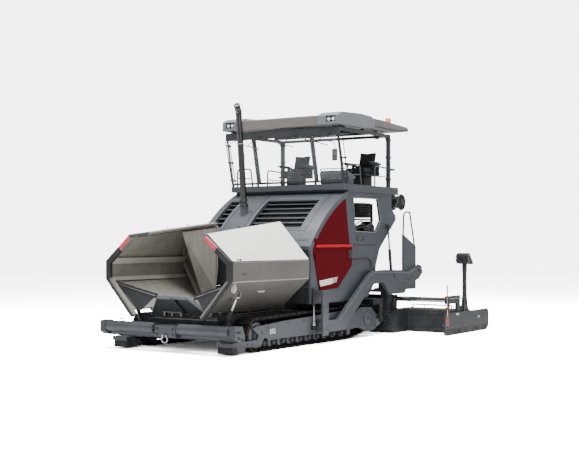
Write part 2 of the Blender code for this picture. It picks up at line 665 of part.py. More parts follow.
def hopper_wing(name):
    low, mid, high = WING_CORNERS
    f, r = WING_FRONT, WING_REAR
    pieces = [
        plate((f, low, mid), (r, low, mid), -WING_THICK),
        plate((f, mid, high), (r, mid, high), -WING_THICK),
        plate((f, high, WING_LIP_FRONT), (r, high, WING_LIP_REAR), -WING_THICK),
    ]
    for corner in (mid, high):
        pieces.append(rod((corner[0] - 0.012, f, corner[1]), (corner[0] - 0.012, r, corner[1]), 0.02, 10))
    band = wing_band([WING_TOE, (1.225, 1.09), (1.225, 1.375), WING_LIP_FRONT], 0.075)
    pieces.append(prism("Y", band, f - 0.03, f + 0.04))
    rear = [(0.66, 0.72), (0.74, 0.65), (1.21, 1.10), (1.21, 1.37), (0.67, 1.965), (0.60, 1.95), (0.60, 1.2)]
    pieces.append(prism("Y", rear, r - 0.03, r))
    corner_guard = [(1.20, 2.07, 1.36), (1.20, 2.07, 1.12), (0.72, 1.88, 0.68)]
    corner_guard += [(0.70, 1.28, 1.83), (0.62, 2.10, 0.80), (0.62, 2.10, 1.90)]
    pieces.append(guard(corner_guard))
    pieces.append(rod(with_y(WING_PIVOT, 0.50), with_y(WING_PIVOT, r), 0.032, 14))
    head_x, head_z = RAM_HEAD
    for y in (RAM_Y - 0.052, RAM_Y + 0.034):
        lug = [(head_x - 0.03, head_z - 0.02), (head_x + 0.03, head_z - 0.02)]
        lug += [(head_x + 0.06, 0.97), (head_x - 0.05, 0.88)]
        pieces.append(prism("Y", lug, y, y + 0.018))
    return combined(name, pieces, (), LOOKS["cream"])


def with_y(point, y):
    return point[0], y, point[1]


def guard(points):
    """The closed form around a few corners, such as the wedge in a wing's rear corner."""
    shape = bmesh.new()
    for point in points:
        shape.verts.new(point)
    result = bmesh.ops.convex_hull(shape, input=shape.verts)
    spare = [item for item in result["geom_unused"] if isinstance(item, bmesh.types.BMVert)]
    bmesh.ops.delete(shape, geom=spare, context="VERTS")
    bmesh.ops.recalc_face_normals(shape, faces=shape.faces)
    mesh = bpy.data.meshes.new("piece")
    shape.to_mesh(mesh)
    shape.free()
    return new_object("piece", mesh)


def hopper_flap(name):
    """The stiff gusset that closes the corner between a wing and the apron."""
    corners = [Vector((1.10, 0.145, 1.06)), Vector((0.37, 0.30, 0.87)), Vector((0.64, 0.20, 0.60))]
    normal = (corners[1] - corners[0]).cross(corners[2] - corners[0]).normalized() * 0.007
    return combined(name, [guard([c + n for c in corners for n in (normal, -normal)])], (), LOOKS["rubber"])


def hopper_apron():
    low_y, low_z = APRON_PIVOT
    top_y, top_z = APRON_TOP
    pieces = [guard([
        (x * sign, y + back, z)
        for sign in (1, -1)
        for x, y, z in ((APRON_LOW_X, low_y, low_z), (APRON_TOP_X, top_y, top_z))
        for back in (0.0, 0.02)
    ])]
    pieces.append(box((-APRON_TOP_X, APRON_TOP_X), (top_y - 0.005, top_y + 0.07), (top_z - 0.015, top_z)))
    pieces.append(rod((-0.56, low_y + 0.01, low_z), (0.56, low_y + 0.01, low_z), 0.022, 12))
    return combined("hopper_apron", pieces, (), LOOKS["body"])


def ram_way():
    foot, head = Vector(with_y(RAM_FOOT, RAM_Y)), Vector(with_y(RAM_HEAD, RAM_Y))
    return foot, head, (head - foot).normalized()


def hopper_cylinder(name):
    foot, _, way = ram_way()
    tube = rod(foot + way * 0.02, foot + way * RAM_BARREL, RAM_R)
    eye = rod(foot - Vector((0, 0.035, 0)), foot + Vector((0, 0.035, 0)), 0.034)
    bore = rod(foot + way * 0.06, foot + way * (RAM_BARREL + 0.1), RAM_ROD_R + SLIDING)
    return combined(name, [tube, eye], [bore], LOOKS["black"])


def hopper_rod(name):
    foot, head, way = ram_way()
    bar = rod(foot + way * (RAM_BARREL - 0.03), head, RAM_ROD_R)
    eye = rod(head - Vector((0, 0.03, 0)), head + Vector((0, 0.03, 0)), 0.03)
    return combined(name, [bar, eye], (), LOOKS["chrome"])


def push_bar():
    reach = PUSH_BAR_X - 0.035
    ends = [(x, PUSH_TUBE_Y, PUSH_TUBE_Z) for x in (-reach, reach)]
    pieces = [rod(*ends, PUSH_TUBE_R, 20)]
    pieces.append(box((-0.20, 0.20), (0.03, 0.27), (PUSH_TUBE_Z - 0.03, ROLLER_Z + 0.05)))
    pieces.append(box((-0.14, 0.14), (0.20, PUSH_PIVOT_Y + 0.035), PUSH_TONGUE_Z))
    for sign in SIDES.values():
        end = [(0.02, 0.27), (0.10, 0.22), (0.25, 0.22)]
        end += [(0.27, 0.30), (0.20, ROLLER_Z + 0.085), (0.03, ROLLER_Z + 0.085)]
        pieces.append(prism("X", end, *side((ROLLER_X[1] + RUNNING, PUSH_BAR_X), sign)))
    ring = [rod_ring((0, 0.022, 0.207), 0.055, 0.010)]
    pieces.append(box((-0.021, 0.021), (0.006, 0.10), (0.225, 0.29)))
    return combined("push_bar", pieces + ring, (), LOOKS["body"])


def rod_ring(centre, radius, thick):
    """A round ring in the plane that faces the front, such as a towing eye."""
    major, minor = 24, 8
    corners, faces = [], []
    for a in angles(major):
        for b in angles(minor):
            reach = radius + thick * math.cos(b)
            ahead = thick * math.sin(b)
            across, up = reach * math.cos(a), reach * math.sin(a)
            corners.append((centre[0] + across, centre[1] + ahead, centre[2] + up))
    for i in range(major):
        for j in range(minor):
            near, far = i * minor, (i + 1) % major * minor
            step = (j + 1) % minor
            faces.append((near + j, far + j, far + step, near + step))
    return solid(corners, faces)


def push_roller(name):
    start, end = (ROLLER_X[0], ROLLER_R, ROLLER_Z), (ROLLER_X[1], ROLLER_R, ROLLER_Z)
    return combined(name, [rod(start, end, ROLLER_R, 28)], (), LOOKS["body"])


# ---------------------------------------------------------------- tow arms and screed

def tow_point(name):
    block = box((BODY_X + 2 * RUNNING, ARM_IN - RUNNING), (2.41, 2.55), (0.18, 0.40))
    return combined(name, [block], (), LOOKS["steel"])


def tow_arm(name):
    pin_y, pin_z = TOW_PIN
    outline = [
        (pin_y + 0.02, pin_z - 0.09), (3.14, pin_z - 0.09), (4.08, 0.92), (4.46, 0.94), (4.72, 0.72),
        (5.30, 0.72), (5.38, 0.84), (5.87, 0.97), (6.02, 1.08), (5.99, 1.20), (5.88, 1.235), (5.76, 1.19),
        (5.50, 1.12), (4.90, 1.145), (4.14, 1.16), (3.98, 1.10),
        (2.93, pin_z + 0.09), (pin_y + 0.02, pin_z + 0.09),
    ]
    pieces = [prism("X", outline, ARM_IN, ARM_OUT)]
    pieces.append(rod((ARM_IN, pin_y, pin_z), (ARM_OUT, pin_y, pin_z), 0.09, 24))
    return combined(name, pieces, (), LOOKS["body"])


def lift_way():
    top, eye = Vector((LIFT_X, *LIFT_TOP)), Vector((LIFT_X, *LIFT_EYE))
    return top, eye, (eye - top).normalized()


def lift_rod(name):
    top, _, way = lift_way()
    bar = rod(top, top + way * LIFT_ROD_LENGTH, LIFT_ROD_R, 14)
    eye = rod(top - Vector((0.024, 0, 0)), top + Vector((0.024, 0, 0)), 0.032)
    return combined(name, [bar, eye], (), LOOKS["chrome"])


def lift_cylinder(name):
    _, eye, way = lift_way()
    tube = rod(eye - way * (LIFT_BARREL_LENGTH + 0.03), eye - way * 0.02, LIFT_BARREL_R)
    end = rod(eye - Vector((0.022, 0, 0)), eye + Vector((0.022, 0, 0)), 0.03)
    bore = rod(eye - way * (LIFT_BARREL_LENGTH + 0.1), eye - way * 0.035, LIFT_ROD_R + SLIDING, 14)
    return combined(name, [tube, end], [bore], LOOKS["black"])


def screed_main():
    pieces = [box((-SCREED_X, SCREED_X), (SCREED_FRONT, SCREED_REAR), (0.0, SCREED_TOP))]
    front = [(SCREED_FRONT - 0.05, 0.10), (SCREED_FRONT + 0.02, 0.0)]
    front += [(SCREED_FRONT + 0.02, SCREED_TOP - 0.04), (SCREED_FRONT - 0.05, SCREED_TOP - 0.08)]
    pieces.append(prism("X", front, -SCREED_X, SCREED_X))
    bores = []
    for name, sign in SIDES.items():
        y, r = TUBE_Y[name], TUBE_R
        wall = r + SLIDING + SLEEVE_WALL
        pieces.append(box(side((0.12, 1.20), sign), (y - wall, y + wall), (SCREED_TOP - 0.02, TUBE_Z + wall)))
        bores.append(rod((-1.7 * sign, y, TUBE_Z), (1.7 * sign, y, TUBE_Z), r + SLIDING, 20))
        upright = (SCREED_FRONT - 0.08, SCREED_FRONT + 0.09)
        pieces.append(box(side((1.02, 1.17), sign), upright, (SCREED_TOP - 0.1, 0.98)))
        pieces.append(box(side((1.12, ARM_IN - GAP), sign), (5.02, 5.34), (0.73, 0.98)))
    pieces.append(box((-1.17, 1.17), (4.92, 5.40), (0.74, 0.77)))
    return combined("screed_main", pieces, bores, LOOKS["screed"])


def screed_extension(sign, name):
    y = TUBE_Y[name.rsplit("_", 1)[1]]
    pieces = [box(side((EXT_IN, EXT_OUT), sign), (EXT_FRONT, EXT_REAR), (0.0, SCREED_TOP))]
    wall = TUBE_R + 0.025
    bracket = side((EXT_OUT - 0.05, EXT_OUT), sign)
    pieces.append(box(bracket, (TUBE_Y["left"] - wall, EXT_FRONT + 0.12), (TUBE_Z - wall, TUBE_Z + wall)))
    pieces.append(box(bracket, (EXT_FRONT, EXT_FRONT + 0.12), (SCREED_TOP - 0.02, TUBE_Z + wall)))
    pieces.append(rod((0.55 * sign, y, TUBE_Z), ((EXT_OUT - 0.02) * sign, y, TUBE_Z), TUBE_R, 20))
    return combined(name, pieces, (), LOOKS["screed"])


def end_gate(name):
    inner = GATE_OUT - GATE_THICK
    outline = [
        (GATE_FRONT, 0.02), (GATE_FRONT + 0.10, 0.0), (LENGTH - 0.12, 0.0), (LENGTH, 0.08),
        (LENGTH, 0.34), (LENGTH - 0.05, GATE_TOP), (GATE_FRONT, GATE_TOP),
    ]
    return combined(name, [prism("X", outline, inner, GATE_OUT)], (), LOOKS["screed"])


def control_box(name):
    x, y = CONTROL_PLACE
    foot = SCREED_TOP + GAP
    pieces = [box((x - 0.03, x + 0.03), (y - 0.03, y + 0.03), (foot, 1.27))]
    panel = [(y - 0.10, 1.27), (y + 0.09, 1.245), (y + 0.13, 1.27), (y - 0.04, 1.46), (y - 0.10, 1.43)]
    pieces.append(prism("X", panel, x - 0.12, x + 0.12))
    return combined(name, pieces, (), LOOKS["trim"])


def screed_steps(name):
    """Walkway side panel with its handrail, and the treads up to the operator's platform."""
    inner, outer = STEP_PANEL_X
    pieces = [prism("X", [(5.36, 0.78), (5.86, 0.78), (5.86, 1.58), (5.36, 1.80)], inner, outer)]
    pieces.append(box((0.70, 1.115), (5.20, 5.40), (0.77 + GAP, 0.80)))
    pieces.append(box((0.70, inner + 0.01), (5.35, 5.62), (0.78, 0.81)))
    pieces.append(box((0.70, inner + 0.01), (5.42, 5.68), (1.10, 1.13)))
    pieces.append(box((0.70, 0.74), (5.36, 5.68), (0.78, 1.13)))
    rail = [(5.38, 1.78), (5.40, 2.16), (5.48, 2.22), (5.64, 2.22), (5.84, 1.57)]
    middle = (inner + outer) / 2
    for start, end in zip(rail, rail[1:]):
        pieces.append(rod((middle, *start), (middle, *end), 0.016, 10))
    return combined(name, pieces, (), LOOKS["body"])


def flight(start_x, end_x, turns, steps=14):
    """A screw's blade: a thin wall wound round the shaft."""
    count = int(turns * steps)
    corners, faces = [], []
    for index in range(count + 1):
        share = index / count
        angle = math.tau * turns * share
        x = start_x + (end_x - start_x) * share
        for radius, shift in ((0.03, -0.008), (AUGER_R, -0.008), (AUGER_R, 0.008), (0.03, 0.008)):
            edge = (AUGER_Y + radius * math.cos(angle), AUGER_Z + radius * math.sin(angle))
            corners.append((x + shift, *edge))
    for index in range(count):
        a, b = 4 * index, 4 * index + 4
        for j in range(4):
            k = (j + 1) % 4
            faces += [(a + j, b + j, b + k), (a + j, b + k, a + k)]
    faces += [(0, 1, 2, 3), (4 * count, 4 * count + 1, 4 * count + 2, 4 * count + 3)]
    return solid(corners, faces)


def auger(name):
    shaft = rod((AUGER_IN, AUGER_Y, AUGER_Z), (AUGER_END, AUGER_Y, AUGER_Z), 0.042)
    blade = flight(AUGER_IN + 0.03, AUGER_END - 0.03, 3)
    return combined(name, [shaft, blade], (), LOOKS["steel"])


def auger_mount():
    y = (AUGER_Y - 0.05, AUGER_Y + 0.05)
    beam_low = AUGER_Z + AUGER_R + 0.05
    pieces = [box((-1.17, 1.17), (FRAME_REAR + GAP, y[1]), (beam_low, beam_low + 0.10))]
    pieces.append(box((-0.075, 0.075), y, (AUGER_Z - 0.08, beam_low + 0.05)))
    for sign in SIDES.values():
        pieces.append(box(side((AUGER_END + 0.008, 1.17), sign), y, (AUGER_Z - 0.08, beam_low + 0.05)))
    return combined("auger_mount", pieces, (), LOOKS["frame"])


def hose_reel():
    y, z = REEL_PLACE
    pieces = [rod((REEL_X[0], y, z), (REEL_X[1], y, z), 0.06, 20)]
    for x in (REEL_X[0] + 0.01, REEL_X[1] - 0.025):
        pieces.append(rod((x, y, z), (x + 0.015, y, z), REEL_R, 24))
    return combined("hose_reel", pieces, (), LOOKS["black"])


# ---------------------------------------------------------------- assembly

LOOKS = {}


def make_looks():
    LOOKS["body"] = material("blue_grey_paint", (0.17, 0.20, 0.24), 0.45)
    LOOKS["frame"] = material("dark_frame_paint", (0.05, 0.06, 0.07), 0.6)
    LOOKS["cream"] = material("cream_paint", (0.75, 0.73, 0.68), 0.4)
    LOOKS["red"] = material("red_paint", (0.22, 0.0, 0.01), 0.35)
    LOOKS["track"] = material("track_steel", (0.03, 0.025, 0.022), 0.7, 0.5)
    LOOKS["steel"] = material("bare_steel", (0.2, 0.2, 0.2), 0.5, 0.8)
    LOOKS["chrome"] = material("chrome", (0.6, 0.6, 0.6), 0.15, 1.0)
    LOOKS["black"] = material("black_plastic", (0.01, 0.01, 0.01), 0.6)
    LOOKS["rubber"] = material("rubber", (0.03, 0.035, 0.045), 0.8)
    LOOKS["trim"] = material("dark_trim", (0.05, 0.055, 0.06), 0.5)
    LOOKS["light_grey"] = material("light_grey_paint", (0.40, 0.39, 0.37), 0.45)
    LOOKS["screed"] = material("screed_grey", (0.07, 0.085, 0.095), 0.55)
    LOOKS["glass"] = material("glass", (0.8, 0.85, 0.85), 0.05)
    LOOKS["orange"] = material("orange_lens", (0.9, 0.25, 0.02), 0.2)


def build_tractor():
    chassis()
    slat_conveyor()
    shade_round(*both_sides("track_frame", track_frame))
    both_sides("track", track)
    engine_block()
    shade_round(hood())
    grille("grille_left", GRILLES["left"])
    grille("grille_right", GRILLES["right"])
    both_sides("side_panel", side_panel)
    for sign, door in zip((1, -1), both_sides("side_door", side_door)):
        pivot(door.name, (DOOR_HINGE[0] * sign, DOOR_HINGE[1], 1.2), door)
    operator_platform()
    pivot("console", (CONSOLE_X, CONSOLE_Y, PLATFORM_Z), console())
    cushions = both_sides("seat_cushion", seat_cushion)
    for sign, base, cushion in zip((1, -1), both_sides("seat_base", seat_base), cushions):
        pivot(base.name, (SEAT_X * sign, SEAT_Y, PLATFORM_Z), base, cushion)
    canopy_roof()
    shade_round(canopy_frame())
    windscreen()
    shade_round(beacon())
    pipe = exhaust_pipe()
    shade_round(pipe)
    pivot(pipe.name, (EXHAUST_X, EXHAUST_FOOT[0] - EXHAUST_COLLAR_R, EXHAUST_FOOT[1]), pipe)
    auger_mount()
    for sign, screw in zip((1, -1), both_sides("auger", auger)):
        shade_round(screw)
        pivot(screw.name, (AUGER_IN * sign, AUGER_Y, AUGER_Z), screw)
    reel = hose_reel()
    shade_round(reel)
    pivot(reel.name, (REEL_X[0], *REEL_PLACE), reel)


def build_hopper():
    wings = both_sides("hopper_wing", hopper_wing)
    flaps = both_sides("hopper_flap", hopper_flap)
    barrels = both_sides("hopper_cylinder", hopper_cylinder)
    rods = both_sides("hopper_rod", hopper_rod)
    shade_round(*barrels, *rods)
    for sign, wing, flap, barrel, bar in zip((1, -1), wings, flaps, barrels, rods):
        pivot(wing.name, (WING_PIVOT[0] * sign, WING_FRONT, WING_PIVOT[1]), wing, flap)
        pivot(barrel.name, (RAM_FOOT[0] * sign, RAM_Y, RAM_FOOT[1]), barrel, bar)
    pivot("hopper_apron", (0, *APRON_PIVOT), hopper_apron())
    bar = push_bar()
    shade_round(bar)
    pivot("push_bar", (0, PUSH_PIVOT_Y, ROLLER_Z), bar)
    for sign, roller in zip((1, -1), both_sides("push_roller", push_roller)):
        shade_round(roller)
        pivot(roller.name, (ROLLER_X[0] * sign, ROLLER_R, ROLLER_Z), roller)


def build_screed():
    points = both_sides("tow_point", tow_point)
    arms = both_sides("tow_arm", tow_arm)
    rods = both_sides("lift_rod", lift_rod)
    barrels = both_sides("lift_cylinder", lift_cylinder)
    shade_round(*arms, *rods, *barrels)
    pivot("tow_points", (0, *TOW_PIN), *points)
    for sign, bar, barrel in zip((1, -1), rods, barrels):
        pivot(bar.name, (LIFT_X * sign, *LIFT_TOP), bar, barrel)
    main = screed_main()
    steps = both_sides("screed_steps", screed_steps)
    pivot("screed", (0, *TOW_PIN), main, *arms, *steps)
    gates = both_sides("end_gate", end_gate)
    boxes = both_sides("control_box", control_box)
    for (name, sign), gate, panel in zip(SIDES.items(), gates, boxes):
        extension = screed_extension(sign, "screed_extension_" + name)
        shade_round(extension)
        pivot(extension.name, (EXT_IN * sign, EXT_FRONT, TUBE_Z), extension, gate, panel)


def main():
    clear_scene()
    make_looks()
    build_tractor()
    build_hopper()
    build_screed()
    centre = bpy.data.objects.new("paver", None)
    bpy.context.scene.collection.objects.link(centre)
    for item in list(bpy.context.scene.collection.objects):
        if item.parent is None and item is not centre:
            item.parent = centre
    centre.location = (0, -LENGTH / 2, 0)


main()
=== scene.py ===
# %% [markdown]
# # A tracked asphalt paver
# The solids that carry the machine come from CAD as a fixed frame. This lesson dresses them: paint,
# wear, bolts, track shoes, seats, glass and the many small fittings that make it look like the real
# machine. Every measure below is in metres. `y` is counted from the front of the push rollers, as a
# mechanic would with a tape, and one shift at the end of each piece puts it where the frame is.

# %% Load the frame
import math

import bmesh
import bpy
from mathutils import Euler, Matrix, Vector
from mathutils.geometry import convex_hull_2d


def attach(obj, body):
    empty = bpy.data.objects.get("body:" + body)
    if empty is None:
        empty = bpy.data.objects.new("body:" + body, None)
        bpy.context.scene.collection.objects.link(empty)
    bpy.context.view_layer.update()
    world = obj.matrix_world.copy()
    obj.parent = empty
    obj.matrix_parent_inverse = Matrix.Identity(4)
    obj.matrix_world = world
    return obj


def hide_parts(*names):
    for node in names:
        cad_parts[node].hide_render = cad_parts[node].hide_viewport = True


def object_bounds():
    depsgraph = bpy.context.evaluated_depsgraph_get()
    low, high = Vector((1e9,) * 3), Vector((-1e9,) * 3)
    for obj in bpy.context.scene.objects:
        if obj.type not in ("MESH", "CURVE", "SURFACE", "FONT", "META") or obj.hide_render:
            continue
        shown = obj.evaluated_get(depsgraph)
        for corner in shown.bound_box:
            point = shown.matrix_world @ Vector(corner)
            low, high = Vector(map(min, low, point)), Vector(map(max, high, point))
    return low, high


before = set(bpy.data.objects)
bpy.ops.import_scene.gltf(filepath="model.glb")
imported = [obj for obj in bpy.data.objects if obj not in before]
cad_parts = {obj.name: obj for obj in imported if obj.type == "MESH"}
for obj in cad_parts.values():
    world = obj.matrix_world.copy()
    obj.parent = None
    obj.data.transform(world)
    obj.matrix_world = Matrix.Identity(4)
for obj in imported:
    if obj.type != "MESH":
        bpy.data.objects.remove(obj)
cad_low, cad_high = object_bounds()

FRONT = cad_low.y
SIDES = {"left": 1, "right": -1}

# %% [markdown]
# ## Camera
# The view is from the machine's front left, at a person's height, through a long lens. A small upward
# shift keeps upright edges upright, as an architectural photographer would.

# %% Camera
camera = bpy.data.objects.new("camera", bpy.data.cameras.new("camera"))
bpy.context.scene.collection.objects.link(camera)
bpy.context.scene.camera = camera
CAMERA_TURN = 33.8
camera.location = (10.67, FRONT - 12.53, 1.72)
camera.rotation_euler = (math.radians(90), 0, math.radians(CAMERA_TURN))
camera.data.lens = 67.48
camera.data.sensor_width = 36
camera.data.shift_y = 0.0195
camera.data.clip_end = 200
print("camera at", tuple(round(v, 2) for v in camera.location))

# %% [markdown]
# ## Floor and light
# A paver is shown on a seamless white floor. One very large soft light above gives the pale tops, and
# three weaker ones fill the front, the far side and the back. A studio burns its floor and walls out to
# white without lighting the machine more, so the camera sees both `FLOOR_GAIN` times as bright as the
# machine does. The floor's soft shadow is kept, and the horizon does not show.

# %% Floor and light
FLOOR_GAIN = 12.0
FILL = 0.45


def stage_floor(size=400.0):
    mesh = bpy.data.meshes.new("floor")
    half = size / 2
    mesh.from_pydata(
        [(-half, -half, 0), (half, -half, 0), (half, half, 0), (-half, half, 0)], [], [(0, 1, 2, 3)],
    )
    floor = bpy.data.objects.new("floor", mesh)
    bpy.context.scene.collection.objects.link(floor)
    look = bpy.data.materials.new("floor_white")
    look.use_nodes = True
    shader = look.node_tree.nodes["Principled BSDF"]
    shader.inputs["Base Color"].default_value = (0.93, 0.93, 0.93, 1)
    shader.inputs["Roughness"].default_value = 0.85
    nodes, links = look.node_tree.nodes, look.node_tree.links
    bright = nodes.new("ShaderNodeBsdfDiffuse")
    bright.inputs["Color"].default_value = (FLOOR_GAIN, FLOOR_GAIN, FLOOR_GAIN, 1)
    seen, choice = nodes.new("ShaderNodeLightPath"), nodes.new("ShaderNodeMixShader")
    links.new(seen.outputs["Is Camera Ray"], choice.inputs[0])
    links.new(shader.outputs[0], choice.inputs[1])
    links.new(bright.outputs[0], choice.inputs[2])
    links.new(choice.outputs[0], nodes["Material Output"].inputs["Surface"])
    mesh.materials.append(look)
    return floor


def soft_light(name, place, target, size, power):
    data = bpy.data.lights.new(name, "AREA")
    data.shape = "RECTANGLE"
    data.size, data.size_y = size
    data.energy = power
    lamp = bpy.data.objects.new(name, data)
    lamp.location = place
    way = Vector(target) - Vector(place)
    lamp.rotation_euler = way.to_track_quat("-Z", "Y").to_euler()
    bpy.context.scene.collection.objects.link(lamp)
    return lamp


stage_floor()
soft_light("sky_light", (1.0, -1.5, 10.0), (0, 0, 0), (9, 9), 3000)
soft_light("front_light", (9.0, -9.0, 5.5), (0, -0.5, 1.2), (5, 4), 130)
soft_light("side_light", (-9.0, -5.0, 5.0), (0, 0, 1.0), (5, 5), 130)
soft_light("rear_light", (2.5, 11.0, 6.5), (0, 2.0, 1.0), (7, 5), 260)
world = bpy.data.worlds.new("studio")
world.use_nodes = True
air = world.node_tree
backdrop, fill = air.nodes["Background"], air.nodes.new("ShaderNodeBackground")
backdrop.inputs["Color"].default_value = fill.inputs["Color"].default_value = (1.0, 1.0, 1.0, 1)
backdrop.inputs["Strength"].default_value = FILL * FLOOR_GAIN
fill.inputs["Strength"].default_value = FILL
seen, choice = air.nodes.new("ShaderNodeLightPath"), air.nodes.new("ShaderNodeMixShader")
air.links.new(seen.outputs["Is Camera Ray"], choice.inputs[0])
air.links.new(fill.outputs[0], choice.inputs[1])
air.links.new(backdrop.outputs[0], choice.inputs[2])
air.links.new(choice.outputs[0], air.nodes["World Output"].inputs["Surface"])
bpy.context.scene.world = world

# %% [markdown]
# ## A short way to write shader maths
# Wear, dust and speckle are sums and products of noises. Wiring each node by hand hides that, so this
# small class lets a pattern be written as a formula: `dust = low_down * noise`. Any other node comes
# from its one `node` method.

# %% Shader maths
class Wire:
    """One value in a material's node tree."""

    def __init__(self, tree, socket):
        self.tree, self.socket = tree, socket

    def node(self, kind, inputs, out=0, **settings):
        """A node of any kind; inputs maps its sockets to wires or plain values."""
        made = self.tree.nodes.new(kind)
        for key, value in settings.items():
            setattr(made, key, value)
        for key, value in inputs.items():
            if isinstance(value, Wire):
                self.tree.links.new(value.socket, made.inputs[key])
            else:
                made.inputs[key].default_value = value
        return Wire(self.tree, made.outputs[out])

    def maths(self, operation, first, second=0.0):
        return self.node("ShaderNodeMath", {0: first, 1: second}, operation=operation)

    def __add__(self, other):
        return self.maths("ADD", self, other)

    def __sub__(self, other):
        return self.maths("SUBTRACT", self, other)

    def __mul__(self, other):
        return self.maths("MULTIPLY", self, other)

    def __truediv__(self, other):
        return self.maths("DIVIDE", self, other)

    __radd__ = __add__
    __rmul__ = __mul__

    def __rsub__(self, other):
        return self.maths("SUBTRACT", other, self)

    def __rtruediv__(self, other):
        return self.maths("DIVIDE", other, self)

    def clamp(self, low, high):
        """0 below low, 1 above high, and even between them."""
        return self.node("ShaderNodeMapRange", {"Value": self, "From Min": low, "From Max": high})

    def noise(self, scale, detail=3.0, rough=0.5):
        """A noise read at this wire's place."""
        inputs = {"Vector": self, "Scale": scale, "Detail": detail, "Roughness": rough}
        return self.node("ShaderNodeTexNoise", inputs)

    def mix(self, low, high):
        """low where this wire is 0 and high where it is 1; both are colours."""
        inputs = {"Factor": self, 6: low, 7: high}
        return self.node("ShaderNodeMix", inputs, out=2, data_type="RGBA")


def shade(r, g, b):
    return (r, g, b, 1.0)


print("operators ready")

# %% [markdown]
# ## Paint that has been outside
# Machine paint is never one flat colour. The coat has a slight orange peel, large soft patches where it
# has faded, dust that thickens towards the ground, and small chips. One function makes each of the
# machine's paints from its colour and says how much of each effect it shows.

# %% Paints
def start_material(name):
    look = bpy.data.materials.new(name)
    look.use_nodes = True
    tree = look.node_tree
    place = tree.nodes.new("ShaderNodeTexCoord")
    return look, tree, Wire(tree, place.outputs["Object"]), tree.nodes["Principled BSDF"]


def split(place):
    """The place's z, for effects that follow the height."""
    return place.node("ShaderNodeSeparateXYZ", {0: place}, out=2)


def set_wire(tree, wire, shader, socket):
    tree.links.new(wire.socket, shader.inputs[socket])


def paint(
    name, color, roughness=0.42, dust=0.10, peel=0.04, patches=0.10, coat=0.15, metallic=0.0, shine=0.4,
):
    look, tree, place, shader = start_material(name)
    base = shade(*color)
    faded = shade(*[min(1.0, c * (1 + patches) + 0.08 * patches) for c in color])
    tint = place.noise(1.3, 4).clamp(0.35, 0.65).mix(base, faded)
    low_down = 1.0 - split(place).clamp(0.05, 1.35)
    speckle = place.noise(55.0, 4, 0.7).clamp(0.50, 0.78)
    cover = (low_down * 0.75 + 0.12) * place.noise(4.5, 5, 0.62).clamp(0.42, 0.70) * dust
    dusty = (cover + speckle * dust * 0.10).mix(tint, shade(0.24, 0.225, 0.20))
    chips = place.noise(23.0, 6, 0.75).clamp(0.735, 0.745) * 0.55
    finished = chips.mix(dusty, shade(*[c * 0.45 for c in color]))
    set_wire(tree, finished, shader, "Base Color")
    set_wire(tree, cover * 0.6 + place.noise(9.0, 3) * 0.10 + (roughness - 0.05), shader, "Roughness")
    height = place.noise(160.0, 2) * peel + place.noise(2.2, 2) * 0.3
    rounded = place.node("ShaderNodeBevel", {"Radius": 0.006}, samples=4)
    bump = place.node(
        "ShaderNodeBump", {"Height": height, "Strength": 0.12, "Distance": 0.004, "Normal": rounded},
    )
    set_wire(tree, bump, shader, "Normal")
    shader.inputs["Coat Weight"].default_value = coat
    shader.inputs["Coat Roughness"].default_value = 0.15
    shader.inputs["Specular IOR Level"].default_value = shine
    shader.inputs["Metallic"].default_value = metallic
    return look


BLUE_GREY = (0.043, 0.050, 0.061)
LOOKS = {
    "body": paint("blue_grey_paint", BLUE_GREY),
    "pale_body": paint("pale_edge_paint", (0.125, 0.138, 0.155), dust=0.12),
    "hood": paint("hood_blue_grey_paint", (0.058, 0.066, 0.077), dust=0.08),
    "frame": paint("dark_frame_paint", (0.012, 0.014, 0.016), roughness=0.55, dust=0.22, coat=0.0),
    "trim": paint("dark_trim_paint", (0.020, 0.023, 0.027), roughness=0.5, dust=0.08),
    "screed": paint(
        "screed_grey_paint", (0.020, 0.024, 0.027), roughness=0.5, dust=0.12, coat=0.1, shine=0.35,
    ),
    "fascia": paint("warm_grey_paint", (0.105, 0.099, 0.094), dust=0.06),
    "red": paint(
        "deep_red_paint", (0.082, 0.0, 0.0030), roughness=0.5, dust=0.0, patches=0.0, coat=0.0,
        shine=0.06,
    ),
    "bright_red": paint(
        "bright_red_paint", (0.42, 0.0, 0.006), roughness=0.4, dust=0.0, patches=0.0, coat=0.0,
        shine=0.25,
    ),
    "black_paint": paint("black_paint", (0.007, 0.007, 0.008), roughness=0.35, dust=0.1),
    "white": paint("white_label", (0.72, 0.72, 0.70), dust=0.1, peel=0.0),
}
print("paints", len(LOOKS))
